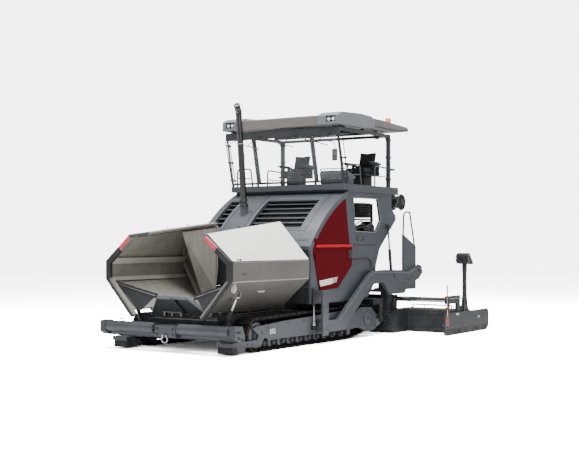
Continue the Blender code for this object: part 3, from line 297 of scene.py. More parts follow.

# %% [markdown]
# ## The hopper's own cream
# Outside, the faces that look up are off-white, and the steeper faces are painted a dark grey-olive
# as painted shade, though the paint there is the same cream. Inside, mix has slid over the wings, so
# they are duller, olive, and scuffed in long streaks that run down the slope. The two sides are told
# apart by which way a face looks: on the left wing the outside looks to the left.

# %% Hopper finish
def hopper_paint():
    look, tree, place, shader = start_material("hopper_cream")
    normal = place.tree.nodes.new("ShaderNodeTexCoord").outputs["Normal"]
    across = Wire(tree, normal).node("ShaderNodeSeparateXYZ", {0: Wire(tree, normal)})
    side = place.node("ShaderNodeSeparateXYZ", {0: place})
    inside = 1.0 - (across * side).clamp(-0.02, 0.02)
    streak_place = place.node("ShaderNodeMapping", {"Vector": place, "Scale": (1.2, 5.0, 1.2)})
    streaks = streak_place.noise(3.0, 6, 0.7).clamp(0.36, 0.72)
    # Painted light: outside faces that look up get bright cream, and steeper ones a dark grey-olive that
    # is painted shade; the noise varies only the tone of that shade.
    painted_top_light = place.node("ShaderNodeSeparateXYZ", {0: Wire(tree, normal)}, out=2).clamp(0.05, 0.35)
    painted_shade_side = place.noise(1.7, 4).clamp(0.3, 0.7).mix(
        shade(0.115, 0.113, 0.105), shade(0.090, 0.088, 0.080),
    )
    outer = painted_top_light.mix(painted_shade_side, shade(0.88, 0.87, 0.83))
    inner = streaks.mix(shade(0.30, 0.29, 0.25), shade(0.22, 0.21, 0.18))
    low_down = (1.0 - split(place).clamp(0.45, 1.0)) * place.noise(6.0, 5, 0.65).clamp(0.40, 0.70) * 0.6
    color = low_down.mix(inside.mix(outer, inner), shade(0.17, 0.16, 0.135))
    set_wire(tree, color, shader, "Base Color")
    set_wire(tree, inside * 0.16 + streaks * 0.12 + 0.33, shader, "Roughness")
    rounded = place.node("ShaderNodeBevel", {"Radius": 0.006}, samples=4)
    height = streaks * inside * 0.6 + place.noise(140.0, 2) * 0.05
    bump = place.node(
        "ShaderNodeBump", {"Height": height, "Strength": 0.15, "Distance": 0.004, "Normal": rounded},
    )
    set_wire(tree, bump, shader, "Normal")
    shader.inputs["Coat Weight"].default_value = 0.2
    return look


LOOKS["hopper"] = hopper_paint()

# %% [markdown]
# ## Steel, rubber, plastic, glass and lamps
# Bare metal differs from paint in its grain: cast steel is pitted, and a chromed rod is nearly a
# mirror with faint smears. Rubber is matt with a fine tooth, and moulded plastic has a leather-like
# grain.

# %% Other finishes
def metal(name, color, roughness, pits=0.4, scale=60.0, rust=0.0, metallic=1.0):
    look, tree, place, shader = start_material(name)
    worn = place.noise(5.0, 5, 0.65).clamp(0.38, 0.68)
    dull = shade(*[c * 0.55 for c in color])
    tone = worn.mix(shade(*color), dull)
    brown = place.noise(14.0, 6, 0.7).clamp(0.48, 0.66) * rust
    set_wire(tree, brown.mix(tone, shade(0.115, 0.060, 0.030)), shader, "Base Color")
    set_wire(tree, worn * 0.16 + brown * 0.25 + roughness, shader, "Roughness")
    shader.inputs["Metallic"].default_value = metallic
    grain = place.noise(scale, 4, 0.7)
    rounded = place.node("ShaderNodeBevel", {"Radius": 0.003}, samples=4)
    bump = place.node(
        "ShaderNodeBump", {"Height": grain, "Strength": pits, "Distance": 0.002, "Normal": rounded},
    )
    set_wire(tree, bump, shader, "Normal")
    return look


def moulded(name, color, roughness, grain=300.0, depth=0.25, coat=0.0):
    look, tree, place, shader = start_material(name)
    worn = place.noise(7.0, 4).clamp(0.40, 0.70)
    grey = shade(*[c * 1.5 + 0.010 for c in color])
    set_wire(tree, worn.mix(shade(*color), grey), shader, "Base Color")
    set_wire(tree, worn * 0.10 + roughness, shader, "Roughness")
    cells = place.node("ShaderNodeTexVoronoi", {"Vector": place, "Scale": grain})
    bump = place.node("ShaderNodeBump", {"Height": cells, "Strength": depth, "Distance": 0.0012})
    set_wire(tree, bump, shader, "Normal")
    shader.inputs["Coat Weight"].default_value = coat
    return look


def lens(name, color, glow=0.0, ribs=0.0):
    """A moulded lamp or reflector: deep colour under a glossy skin, with small prisms pressed into it,
    each prism painted lighter at its centre as a glint.
    """
    look, tree, place, shader = start_material(name)
    cells = place.node("ShaderNodeTexVoronoi", {"Vector": place, "Scale": 130.0})
    light = shade(*[min(1.0, c * 1.5 + 0.04) for c in color])
    # Painted glints: each prism cell is lighter towards its centre.
    set_wire(tree, cells.clamp(0.1, 0.6).mix(light, shade(*color)), shader, "Base Color")
    bump = place.node("ShaderNodeBump", {"Height": cells, "Strength": 0.25 + ribs, "Distance": 0.002})
    set_wire(tree, bump, shader, "Normal")
    shader.inputs["Roughness"].default_value = 0.16
    shader.inputs["Coat Weight"].default_value = 0.8
    shader.inputs["Emission Color"].default_value = shade(*color)
    shader.inputs["Emission Strength"].default_value = glow
    return look


def clear_glass():
    """Thin flat glass: mostly see-through, with a faint film of dust in soft patches."""
    look, tree, place, shader = start_material("clear_glass")
    film = place.noise(3.0, 5, 0.6).clamp(0.45, 0.75) * 0.05
    set_wire(tree, film + 0.035, shader, "Alpha")
    shader.inputs["Base Color"].default_value = shade(0.80, 0.86, 0.88)
    shader.inputs["Roughness"].default_value = 0.03
    shader.inputs["Specular IOR Level"].default_value = 0.3
    return look


LOOKS.update({
    "track": metal("track_steel", (0.011, 0.010, 0.009), 0.6, rust=0.15, metallic=0.45),
    "pad": moulded("track_pad_rubber", (0.009, 0.008, 0.008), 0.8, grain=90.0, depth=0.5),
    "steel": metal("bare_steel", (0.30, 0.30, 0.30), 0.34, rust=0.15),
    "bolt": metal("zinc_bolt", (0.33, 0.34, 0.35), 0.32, pits=0.15, rust=0.08),
    "dark_steel": metal("dark_steel", (0.060, 0.060, 0.062), 0.42, rust=0.12, metallic=0.8),
    "pipe": metal("dark_chrome", (0.16, 0.16, 0.165), 0.14, pits=0.03, scale=25.0),
    "chrome": metal("polished_chrome", (0.62, 0.63, 0.64), 0.06, pits=0.04, scale=25.0),
    "bronze": metal("bronze", (0.40, 0.24, 0.10), 0.35, pits=0.2),
    "rubber": moulded("black_rubber", (0.014, 0.014, 0.015), 0.62),
    "plastic": moulded("black_plastic", (0.015, 0.015, 0.016), 0.48),
    "grey_plastic": moulded("grey_plastic", (0.060, 0.068, 0.078), 0.5),
    "hose": moulded("hose_rubber", (0.010, 0.010, 0.010), 0.45, grain=500.0),
    "green": moulded("green_plastic", (0.010, 0.22, 0.060), 0.4, coat=0.2),
    "vinyl": moulded("seat_vinyl", (0.022, 0.022, 0.024), 0.55, grain=420.0, depth=0.35),
    "orange": lens("orange_lens", (0.80, 0.22, 0.01), glow=0.12),
    # Painted light: the reflector is no lamp, yet it is given a faint glow.
    "reflector": lens("pink_red_reflector", (0.78, 0.045, 0.070), glow=0.05),
    "lamp": lens("lamp_lens", (0.62, 0.64, 0.66), ribs=0.4),
    "sensor_red": moulded("red_sensor_case", (0.36, 0.004, 0.012), 0.35, coat=0.3),
    "glass": clear_glass(),
    "cream_strip": paint("cream_strip", (0.44, 0.425, 0.37), roughness=0.40, dust=0.15),
    "screen": moulded("screen_glass", (0.012, 0.016, 0.020), 0.12, depth=0.0, coat=0.6),
})
print("finishes", len(LOOKS))

# %% [markdown]
# ## Dressing the frame
# The CAD solids already have the right shapes, so most of them only need their finish. Each node's one
# material slot gets the finish that its real part has.

# %% Finishes for the CAD nodes
NODE_LOOKS = {
    "frame": ["chassis", "auger_mount"],
    "dark_steel": ["engine_block"],
    "steel": ["slat_conveyor", "auger_left", "auger_right", "tow_point_left", "tow_point_right"],
    "body": ["operator_platform", "push_bar"],
    "hood": ["hood"],
    "plastic": ["seat_base_left", "seat_base_right", "hose_reel"],
    "trim": ["canopy_frame", "control_box_left", "control_box_right", "hopper_apron"],
    "grey_plastic": ["console"],
    "fascia": ["canopy_roof"],
    "glass": ["windscreen"],
    "orange": ["beacon"],
    "pipe": ["exhaust_pipe"],
    "screed": ["screed_main"],
}
BOTH_SIDES = {
    "body": ["grille", "track_frame", "side_panel", "push_roller", "tow_arm", "screed_steps"],
    "chrome": ["hopper_rod"],
    "black_paint": ["hopper_cylinder", "lift_cylinder", "lift_rod"],
    "hopper": ["hopper_wing"],
    "trim": ["hopper_flap"],
        "red": ["side_door"],
    "screed": ["screed_extension", "end_gate"],
}
for look, stems in BOTH_SIDES.items():
    NODE_LOOKS.setdefault(look, []).extend(f"{stem}_{side}" for stem in stems for side in SIDES)
for look, names in NODE_LOOKS.items():
    for name in names:
        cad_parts[name].data.materials.clear()
        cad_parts[name].data.materials.append(LOOKS[look])
print("dressed", sum(len(names) for names in NODE_LOOKS.values()), "nodes")

# %% [markdown]
# ## A small workshop of shapes
# Fittings are welded from a few kinds of stock: plate cut to an outline, round bar, bent tube and
# blocks. Each helper adds one such shape to a growing mesh, and `finish` closes the piece: it moves it
# to its place on the machine, softens its edges with a bevel and lets it ride on the body it belongs to.

# %% Shapes
def add_faces(shape, corners, faces):
    points = [shape.verts.new(corner) for corner in corners]
    made = [shape.faces.new([points[index] for index in face]) for face in faces]
    bmesh.ops.recalc_face_normals(shape, faces=made)


def add_prism(shape, axis, outline, low, high):
    """The outline, in the other two axes in their order, swept along axis."""
    order = {"X": (2, 0, 1), "Y": (0, 2, 1), "Z": (0, 1, 2)}[axis]
    low, high = min(low, high), max(low, high)
    corners = []
    for along in (low, high):
        for a, b in outline:
            corners.append(tuple((a, b, along)[index] for index in order))
    count = len(outline)
    around = [(i, (i + 1) % count, (i + 1) % count + count, i + count) for i in range(count)]
    add_faces(shape, corners, [tuple(range(count)), tuple(range(count, 2 * count)), *around])


def add_box(shape, x, y, z):
    (x0, x1), (y0, y1) = sorted(x), sorted(y)
    add_prism(shape, "Z", [(x0, y0), (x1, y0), (x1, y1), (x0, y1)], *z)


def circle(radius, sides, start=0.0):
    steps = [start + math.tau * step / sides for step in range(sides)]
    return [(radius * math.cos(a), radius * math.sin(a)) for a in steps]


def add_turned(shape, start, end, profile, sides=16):
    """A turned form about the line from start to end; the profile lists (share of the way, radius)."""
    start, end = Vector(start), Vector(end)
    turn = (end - start).to_track_quat("Z", "Y")
    corners, faces = [], []
    for share, radius in profile:
        centre = start.lerp(end, share)
        corners += [centre + turn @ Vector((*point, 0)) for point in circle(radius, sides)]
    for ring in range(len(profile) - 1):
        for i in range(sides):
            a, b = ring * sides + i, ring * sides + (i + 1) % sides
            faces.append((a, b, b + sides, a + sides))
    last = (len(profile) - 1) * sides
    faces += [tuple(range(sides)), tuple(range(last, last + sides))]
    add_faces(shape, corners, faces)


def add_bar(shape, start, end, radius, sides=14):
    add_turned(shape, start, end, [(0, radius), (1, radius)], sides)


print("solids ready")

# %% [markdown]
# ## Tubes along a path
# A hose or a rail is a circle carried along a line. The line is either smooth through its points or
# straight between them with rounded corners. The circle is turned as little as it can be from one
# point to the next, so a tube doesn't twist.

# %% Tubes
def smooth_path(points, steps=6):
    """A curve through the points, with steps short runs between each two."""
    points = [Vector(point) for point in points]
    path = []
    for index in range(len(points) - 1):
        a = points[max(index - 1, 0)]
        b, c = points[index], points[index + 1]
        d = points[min(index + 2, len(points) - 1)]
        for step in range(steps):
            t = step / steps
            path.append(0.5 * (2 * b + (c - a) * t + (2 * a - 5 * b + 4 * c - d) * t ** 2
                               + (3 * b - a - 3 * c + d) * t ** 3))
    return path + [points[-1]]


def rounded_path(points, radius, steps=4):
    """The points joined by straight runs, with each corner bent to about that radius."""
    points = [Vector(point) for point in points]
    path = [points[0]]
    for before, corner, after in zip(points, points[1:], points[2:]):
        way_in, way_out = (before - corner), (after - corner)
        reach = min(radius, way_in.length * 0.45, way_out.length * 0.45)
        start, end = corner + way_in.normalized() * reach, corner + way_out.normalized() * reach
        for step in range(steps + 1):
            t = step / steps
            path.append(start * (1 - t) ** 2 + corner * 2 * t * (1 - t) + end * t ** 2)
    return path + [points[-1]]


def add_tube(shape, path, radius, sides=10):
    """A round tube along a path, with closed ends."""
    path = [Vector(point) for point in path]
    normal = (path[1] - path[0]).orthogonal().normalized()
    corners, faces = [], []
    for index, point in enumerate(path):
        ahead = path[min(index + 1, len(path) - 1)] - path[max(index - 1, 0)]
        way = ahead.normalized()
        normal = (normal - way * normal.dot(way)).normalized()
        other = way.cross(normal)
        corners += [point + normal * a + other * b for a, b in circle(radius, sides)]
    for ring in range(len(path) - 1):
        for i in range(sides):
            a, b = ring * sides + i, ring * sides + (i + 1) % sides
            faces.append((a, b, b + sides, a + sides))
    last = (len(path) - 1) * sides
    faces += [tuple(range(sides)), tuple(range(last, last + sides))]
    add_faces(shape, corners, faces)


print("tubes ready")

# %% [markdown]
# ## Finishing a piece
# Every piece ends the same way: its faces are turned outwards, its corners get a small bevel, it is
# shifted to where the frame is, and it is tied to the body that it moves with.

# %% Finish a piece
def finish(name, shape, look, body, bevel=0.003, sharp=35):
    """Turns a growing mesh into a finished piece on its body."""
    bmesh.ops.translate(shape, vec=(0, FRONT, 0), verts=shape.verts)
    mesh = bpy.data.meshes.new(name)
    shape.to_mesh(mesh)
    shape.free()
    return finish_mesh(name, mesh, look, body, bevel, sharp)


def finish_mesh(name, mesh, look, body, bevel=0.0, sharp=35):
    mesh.materials.clear()
    mesh.materials.append(LOOKS[look])
    mesh.shade_smooth()
    mesh.set_sharp_from_angle(angle=math.radians(sharp))
    piece = bpy.data.objects.new(name, mesh)
    bpy.context.scene.collection.objects.link(piece)
    if bevel:
        edge = piece.modifiers.new("edge", "BEVEL")
        edge.width = bevel
        edge.segments = 2
        edge.limit_method = "ANGLE"
        edge.angle_limit = math.radians(40)
        edge.harden_normals = False
    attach(piece, body)
    return piece


print("shapes ready")

# %% [markdown]
# ## Geometry Nodes, built from the script
# What repeats is made by Geometry Nodes: one bolt, many places. The tree is built here by a small
# class, because a tree is easier to read as a list of steps than as a picture of wires. Its result is
# turned into a plain mesh, since the machine is exported as meshes.

# %% Geometry Nodes helper
class Recipe:
    """A Geometry Nodes tree with named inputs."""

    KINDS = {float: "NodeSocketFloat", int: "NodeSocketInt"}

    def __init__(self, name, **inputs):
        self.tree = bpy.data.node_groups.new(name, "GeometryNodeTree")
        face = self.tree.interface
        face.new_socket("Geometry", in_out="INPUT", socket_type="NodeSocketGeometry")
        face.new_socket("Geometry", in_out="OUTPUT", socket_type="NodeSocketGeometry")
        self.names = {}
        for label, kind in {**inputs, "finish": "NodeSocketMaterial"}.items():
            made = face.new_socket(label, in_out="INPUT", socket_type=self.KINDS.get(kind, kind))
            self.names[label] = made.identifier
        self.start = self.tree.nodes.new("NodeGroupInput")
        self.end = self.tree.nodes.new("NodeGroupOutput")

    def given(self, label):
        """The tree's own input of that name."""
        return self.start.outputs[label]

    def add(self, kind, inputs, out=0, **settings):
        made = self.tree.nodes.new(kind)
        for key, value in settings.items():
            setattr(made, key, value)
        for key, value in inputs.items():
            if isinstance(value, (list, tuple)) and value and hasattr(value[0], "is_linked"):
                for one in value:
                    self.tree.links.new(one, made.inputs[key])
            elif hasattr(value, "is_linked"):
                self.tree.links.new(value, made.inputs[key])
            else:
                made.inputs[key].default_value = value
        return made.outputs[out]

    def close(self, geometry):
        """Ends the tree: instances made real, then given their finish."""
        real = self.add("GeometryNodeRealizeInstances", {0: geometry})
        done = self.add("GeometryNodeSetMaterial", {"Geometry": real, "Material": self.given("finish")})
        self.tree.links.new(done, self.end.inputs[0])
        return self

    def make(self, name, source, look, body, bevel=0.0, **values):
        """Runs the tree on a source mesh or curve and keeps the result as one plain piece."""
        carrier = bpy.data.objects.new(name + "_source", source)
        bpy.context.scene.collection.objects.link(carrier)
        step = carrier.modifiers.new("recipe", "NODES")
        step.node_group = self.tree
        for label, value in {**values, "finish": LOOKS[look]}.items():
            step[self.names[label]] = value
        graph = bpy.context.evaluated_depsgraph_get()
        mesh = bpy.data.meshes.new_from_object(carrier.evaluated_get(graph))
        bpy.data.objects.remove(carrier)
        mesh.name = name
        return finish_mesh(name, mesh, look, body, bevel)


print("recipe helper ready")

# %% [markdown]
# ## Bolts
# A bolt is one recipe: a hexagon head on a thin washer. It is placed on every point of a small mesh
# whose normals say which way each bolt looks out. `row` and `ring` lay those points out.

# %% Bolts
def points_mesh(places):
    """A mesh of loose points; each place is (point, the way it faces)."""
    mesh = bpy.data.meshes.new("places")
    mesh.from_pydata([(p[0], p[1] + FRONT, p[2]) for p, _ in places], [], [])
    facing = mesh.attributes.new("facing", "FLOAT_VECTOR", "POINT")
    for item, (_, way) in zip(facing.data, places):
        item.vector = way
    return mesh


def bolt_recipe():
    """A hexagon head on a round washer, at each point, turned the way that point faces."""
    made = Recipe("bolts", radius=float, height=float)
    radius, height = made.given("radius"), made.given("height")
    wide = made.add("ShaderNodeMath", {0: radius, 1: 1.35}, operation="MULTIPLY")
    thin = made.add("ShaderNodeMath", {0: height, 1: 0.35}, operation="MULTIPLY")
    head = made.add("GeometryNodeMeshCylinder", {"Vertices": 6, "Radius": radius, "Depth": height})
    washer = made.add("GeometryNodeMeshCylinder", {"Vertices": 14, "Radius": wide, "Depth": thin})
    half = made.add("ShaderNodeMath", {0: height, 1: 0.5}, operation="MULTIPLY")
    up = made.add("ShaderNodeCombineXYZ", {"Z": half})
    head = made.add("GeometryNodeTransform", {"Geometry": head, "Translation": up})
    bolt = made.add("GeometryNodeJoinGeometry", {0: [head, washer]})
    facing = made.add("GeometryNodeInputNamedAttribute", {"Name": "facing"}, data_type="FLOAT_VECTOR")
    turn = made.add("FunctionNodeAlignRotationToVector", {"Vector": facing}, axis="Z")
    placed = made.add(
        "GeometryNodeInstanceOnPoints",
        {"Points": made.given("Geometry"), "Instance": bolt, "Rotation": turn},
    )
    return made.close(placed)


BOLTS = bolt_recipe()


def bolts(name, places, body, radius=0.011, height=0.009, look="bolt"):
    return BOLTS.make(name, points_mesh(places), look, body, radius=radius, height=height)


def row(start, end, count, facing):
    start, end = Vector(start), Vector(end)
    return [(start.lerp(end, step / max(count - 1, 1)), facing) for step in range(count)]


def ring(centre, radius, count, facing, turn=0.0):
    """Places round a circle, on a face that looks along facing."""
    quat = Vector(facing).to_track_quat("Z", "Y")
    return [(Vector(centre) + quat @ Vector((*p, 0)), facing) for p in circle(radius, count, turn)]


print("recipes ready:", BOLTS.tree.name)

# %% [markdown]
# ## Crawler tracks
# A paver's track is a chain of flat shoes, each with a rubber pad on a steel plate and two chain links
# behind it. One shoe is modelled inside the tree and laid along the belt's line, which is the tight
# outline round the idler, the last roller and the sprocket. The laid shoes stand for the plain belt.

# %% Track shoes
def track_recipe():
    made = Recipe("track", count=int, width=float)
    width = made.given("width")
    loop = made.add("GeometryNodeMeshToCurve", {0: made.given("Geometry")})
    evenly = made.add("GeometryNodeResampleCurve", {"Curve": loop, "Count": made.given("count")})
    along = made.add("GeometryNodeInputTangent", {})
    turn = made.add("FunctionNodeAlignRotationToVector", {"Vector": along}, axis="Y", pivot_axis="X")

    def block(share, deep, high, x_share, z):
        across = made.add("ShaderNodeMath", {0: width, 1: share}, operation="MULTIPLY")
        size = made.add("ShaderNodeCombineXYZ", {"X": across, "Y": deep, "Z": high})
        place_x = made.add("ShaderNodeMath", {0: width, 1: x_share}, operation="MULTIPLY")
        place = made.add("ShaderNodeCombineXYZ", {"X": place_x, "Z": z})
        cube = made.add("GeometryNodeMeshCube", {"Size": size})
        return made.add("GeometryNodeTransform", {"Geometry": cube, "Translation": place})

    parts = [block(0.47, 0.132, 0.022, 0.255, 0.013), block(0.47, 0.132, 0.022, -0.255, 0.013)]
    parts += [block(1.0, 0.150, 0.010, 0.0, 0.028), block(0.9, 0.018, 0.016, 0.0, 0.036)]
    parts += [block(0.10, 0.160, 0.034, 0.18, 0.046), block(0.10, 0.160, 0.034, -0.18, 0.046)]
    shoe = made.add("GeometryNodeJoinGeometry", {0: parts})
    placed = made.add(
        "GeometryNodeInstanceOnPoints", {"Points": evenly, "Instance": shoe, "Rotation": turn},
    )
    return made.close(placed)


def belt_line(wheels, steps=72):
    points = [(y + r * math.cos(a), z + r * math.sin(a)) for (y, z, r) in wheels
              for a in (math.tau * i / steps for i in range(steps))]
    return [points[i] for i in convex_hull_2d(points)]


WHEELS = ((0.80, 0.262, 0.262), (3.98, 0.335, 0.25), (3.52, 0.12, 0.12))
line = belt_line(WHEELS)
area = sum(a[0] * b[1] - b[0] * a[1] for a, b in zip(line, line[1:] + line[:1]))
if area < 0:
    line.reverse()
girth = sum(math.dist(a, b) for a, b in zip(line, line[1:] + line[:1]))
TRACK = track_recipe()
for side, s in SIDES.items():
    mesh = bpy.data.meshes.new("belt_line")
    edges = [(i, (i + 1) % len(line)) for i in range(len(line))]
    mesh.from_pydata([(1.02 * s, y + FRONT, z) for y, z in line], edges, [])
    shoes = TRACK.make(
        f"track_shoes_{side}", mesh, "track", "tractor", 0.003, count=round(girth / 0.166), width=0.28,
    )
    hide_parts(f"track_{side}")
print("shoes on each track", round(girth / 0.166), "faces", len(shoes.data.polygons))

# %% [markdown]
# ## Track beams
# The long beam over the rollers carries a few things that the eye looks for: hub caps, bolt holes, a
# small striped latch and the bolted cover over the drive wheel.

# %% Track beam fittings
def mirrored(name, look, body, make, bevel=0.003, sharp=35):
    """Makes the same piece on both sides; make gets the growing mesh and the side's sign."""
    pieces = []
    for side, s in SIDES.items():
        shape = bmesh.new()
        make(shape, s)
        pieces.append(finish(f"{name}_{side}", shape, look, body.format(side=side), bevel, sharp))
    return pieces


def fit_pairs(body, fittings):
    """Makes several mirrored pieces on one body; each name gives its look, its maker and its bevel."""
    for name, (look, make, bevel) in fittings.items():
        mirrored(name, look, body, make, bevel)


def mirrored_bolts(name, places, body, **sizes):
    for side, s in SIDES.items():
        turned = [((x * s, y, z), (w[0] * s, w[1], w[2])) for (x, y, z), w in places]
        bolts(f"{name}_{side}", turned, body.format(side=side), **sizes)


OUT, FORE = (1, 0, 0), (0, -1, 0)
cover = [
    (1.234, y, z)
    for y, z in (
        (3.28, 0.25), (3.74, 0.215), (4.04, 0.13), (4.29, 0.17), (4.30, 0.36), (4.12, 0.475),
        (3.80, 0.49),
    )
]
mirrored_bolts(
    "cover_bolts", [(p, OUT) for p in cover], "tractor", radius=0.013, height=0.010, look="body",
)
beam = [
    (1.186, y, z)
    for y, z in (
        (0.90, 0.30), (1.05, 0.365), (0.98, 0.42), (1.60, 0.40), (2.05, 0.41), (2.75, 0.25), (3.05, 0.30),
    )
]
mirrored_bolts(
    "beam_bolts", [(p, OUT) for p in beam], "tractor", radius=0.012, height=0.009, look="dark_steel",
)
foot = [(1.186, y, 0.15) for y in (0.24, 0.34, 0.52, 0.64)]
mirrored_bolts(
    "beam_foot_bolts", [(p, OUT) for p in foot], "tractor", radius=0.012, height=0.009, look="body",
)


def hub_caps(shape, s):
    for y in [0.99 + 0.253 * i for i in range(10)]:
        add_turned(
            shape, (1.150 * s, y, 0.126), (1.172 * s, y, 0.126), [(0, 0.045), (0.5, 0.045), (1, 0.030)],
            16,
        )
    add_turned(
        shape, (1.150 * s, 0.80, 0.262), (1.164 * s, 0.80, 0.262), [(0, 0.10), (0.5, 0.10), (1, 0.07)],
        24,
    )


mirrored("roller_hub_caps", "dark_steel", "tractor", hub_caps)


def drive_boss(shape, s):
    add_turned(
        shape, (1.234 * s, 4.00, 0.33), (1.252 * s, 4.00, 0.33), [(0, 0.11), (0.7, 0.11), (1, 0.095)], 28,
    )
    add_prism(shape, "X", [(3.20, 0.24), (3.26, 0.25), (3.30, 0.305), (3.24, 0.30)], 1.234 * s, 1.242 * s)
    add_prism(
        shape, "X", [(0.17, 0.124), (0.86, 0.097), (0.87, 0.108), (0.17, 0.138)], 1.186 * s, 1.196 * s,
    )


mirrored("drive_boss", "body", "tractor", drive_boss)
mirrored_bolts(
    "drive_boss_bolts", ring((1.252, 4.00, 0.33), 0.082, 8, OUT), "tractor", radius=0.009, height=0.007,
)


print("hubs fitted")

# %% [markdown]
# ## Latch plate, scraper and level rod
# Each track frame carries a striped plate, a rubber scraper in front of the track and a chromed rod
# in a black barrel.

# %% Latch plate, scraper and level rod
def latch_plate(shape, s):
    add_box(shape, (1.186 * s, 1.192 * s), (1.10, 1.24), (0.262, 0.338))


def latch_stripes(shape, s):
    for y in (1.11, 1.15, 1.19):
        add_prism(
            shape, "X", [(y, 0.266), (y + 0.018, 0.266), (y + 0.044, 0.334), (y + 0.026, 0.334)],
            1.191 * s, 1.1935 * s,
        )


mirrored("latch_plate", "white", "tractor", latch_plate, 0.001)
mirrored("latch_stripes", "black_paint", "tractor", latch_stripes, 0)


def scraper(shape, s):
    add_box(shape, (0.885 * s, 1.165 * s), (0.172, 0.300), (0.022, 0.118))
    add_box(shape, (0.895 * s, 1.155 * s), (0.165, 0.19), (0.030, 0.105))


mirrored("scraper_rubber", "rubber", "tractor", scraper, 0.006)


def level_rod(shape, s):
    add_bar(shape, (1.215 * s, 2.30, 0.36), (1.215 * s, 2.30, 0.86), 0.013)
    add_turned(
        shape, (1.215 * s, 2.30, 0.30), (1.215 * s, 2.30, 0.40),
        [(0, 0.01), (0.2, 0.034), (0.6, 0.036), (1, 0.014)], 18,
    )


def level_barrel(shape, s):
    add_bar(shape, (1.215 * s, 2.30, 0.62), (1.215 * s, 2.30, 0.92), 0.024, 18)
    add_bar(shape, (1.188 * s, 2.30, 0.28), (1.232 * s, 2.30, 0.28), 0.042, 18)


mirrored("level_rod", "chrome", "tractor", level_rod, 0)
mirrored("level_barrel", "black_paint", "tractor", level_barrel)
print("beams fitted")

# %% [markdown]
# ## Push rollers and their bar
# The rollers push the tyres of the truck that feeds the hopper. Each runs on a pin in a bolted end
# disc. A bright towing ring hangs at the middle, and the bar's ends are closed with bolted plates.

# %% Push bar
def roller_caps(shape, s):
    for start, way in ((1.200, 1), (0.230, -1)):
        end = start + 0.004 * way
        add_turned(
            shape, (start * s - 0.012 * way * s, 0.084, 0.36), (end * s, 0.084, 0.36),
            [(0, 0.0865), (0.8, 0.0865), (1, 0.081)], 30,
        )


mirrored("roller_caps", "frame", "push_roller_{side}", roller_caps, 0)
roller_bolts = ring((1.204, 0.084, 0.36), 0.055, 6, OUT) + ring(
    (0.226, 0.084, 0.36), 0.055, 6, (-1, 0, 0),
)
mirrored_bolts("roller_bolts", roller_bolts, "push_roller_{side}", radius=0.009, height=0.0015)
end_plate = [(1.325, 0.135, 0.36), (1.325, 0.075, 0.36), (1.325, 0.20, 0.25), (1.325, 0.11, 0.275)]
mirrored_bolts(
    "bar_end_bolts", [(p, OUT) for p in end_plate], "push_bar", radius=0.016, height=0.013, look="frame",
)
centre = [((x, 0.029, z), FORE) for x in (-0.15, 0.15) for z in (0.28, 0.36)]
bolts("bar_centre_bolts", centre, "push_bar", radius=0.014, height=0.011, look="frame")
ring_shape = bmesh.new()
loop = [
    (0.055 * math.cos(a), 0.022, 0.207 + 0.055 * math.sin(a))
    for a in (math.tau * i / 40 for i in range(41))
]
add_tube(ring_shape, loop, 0.0112, 12)
for x in (-0.032, 0.032):
    add_bar(ring_shape, (x, 0.010, 0.257), (x, 0.034, 0.257), 0.017, 14)
finish("towing_ring", ring_shape, "chrome", "push_bar", 0)


def bar_hooks(shape, s):
    path = [
        (1.02 * s, 0.20, 0.31), (1.02 * s, 0.225, 0.36), (1.02 * s, 0.215, 0.455),
        (1.05 * s, 0.215, 0.470), (1.09 * s, 0.215, 0.455),
    ]
    add_tube(shape, smooth_path(path, 5), 0.011, 10)
    add_box(shape, (0.60 * s, 0.72 * s), (0.185, 0.205), (0.20, 0.325))


mirrored("bar_hooks", "body", "push_bar", bar_hooks)
print("push bar fitted")

# %% [markdown]
# ## Hopper wings
# The front edge of each wing wears a black rubber band, and its tip a red reflector. Light plates
# stiffen the inside folds. A rolled flange runs along the top, grey at the tip and cream behind, with
# small hooks for a tarpaulin.

# %% Wing edges
LIP = (0.75, 1.77)
SLANT = (1.225, 1.375)
LOW = (1.225, 1.09)
TOE = (0.70, 0.51)


def inset(points, depth):
    """The line moved sideways by depth, with its corners kept sharp."""
    moved = []
    for index, point in enumerate(points):
        ways = []
        if index:
            ways.append((Vector(point) - Vector(points[index - 1])).normalized())
        if index + 1 < len(points):
            ways.append((Vector(points[index + 1]) - Vector(point)).normalized())
        sides = [Vector((-w.y, w.x)) for w in ways]
        middle = sum(sides, Vector((0, 0))).normalized()
        moved.append(Vector(point) + middle * (depth / max(0.5, middle.dot(sides[0]))))
    return [tuple(p) for p in moved]


def edge_band(shape, points, outward, depth, y0, y1, s):
    outer, inner = inset(points, -outward), inset(points, depth)
    outline = [(x * s, z) for x, z in outer + inner[::-1]]
    add_prism(shape, "Y", outline, y0, y1)


def part_way(a, b, share):
    return (a[0] + (b[0] - a[0]) * share, a[1] + (b[1] - a[1]) * share)


SPLIT = part_way(LIP, SLANT, 0.44)
WING_BANDS = {
    "wing_rubber": (
        "rubber", [LOW, SLANT, part_way(LIP, SLANT, 0.47)], 0.005, 0.082, 0.048, 0.112, 0.006,
    ),
    "wing_toe_rubber": ("rubber", [TOE, LOW], 0.004, 0.036, 0.048, 0.10, 0.005),
    "wing_reflector": (
        "reflector", [SPLIT, part_way(LIP, SLANT, 0.03)], 0.002, 0.062, 0.046, 0.062, 0.003,
    ),
    "reflector_tray": ("pale_body", [part_way(LIP, SLANT, 0.46), LIP], 0.006, 0.080, 0.056, 0.135, 0.003),
}
for name, (look, line, outward, depth, y0, y1, bevel) in WING_BANDS.items():
    mirrored(
        name, look, "hopper_wing_{side}", lambda shape,
        s: edge_band(shape, line, outward, depth, y0, y1, s), bevel,
    )


print("wing edges fitted")

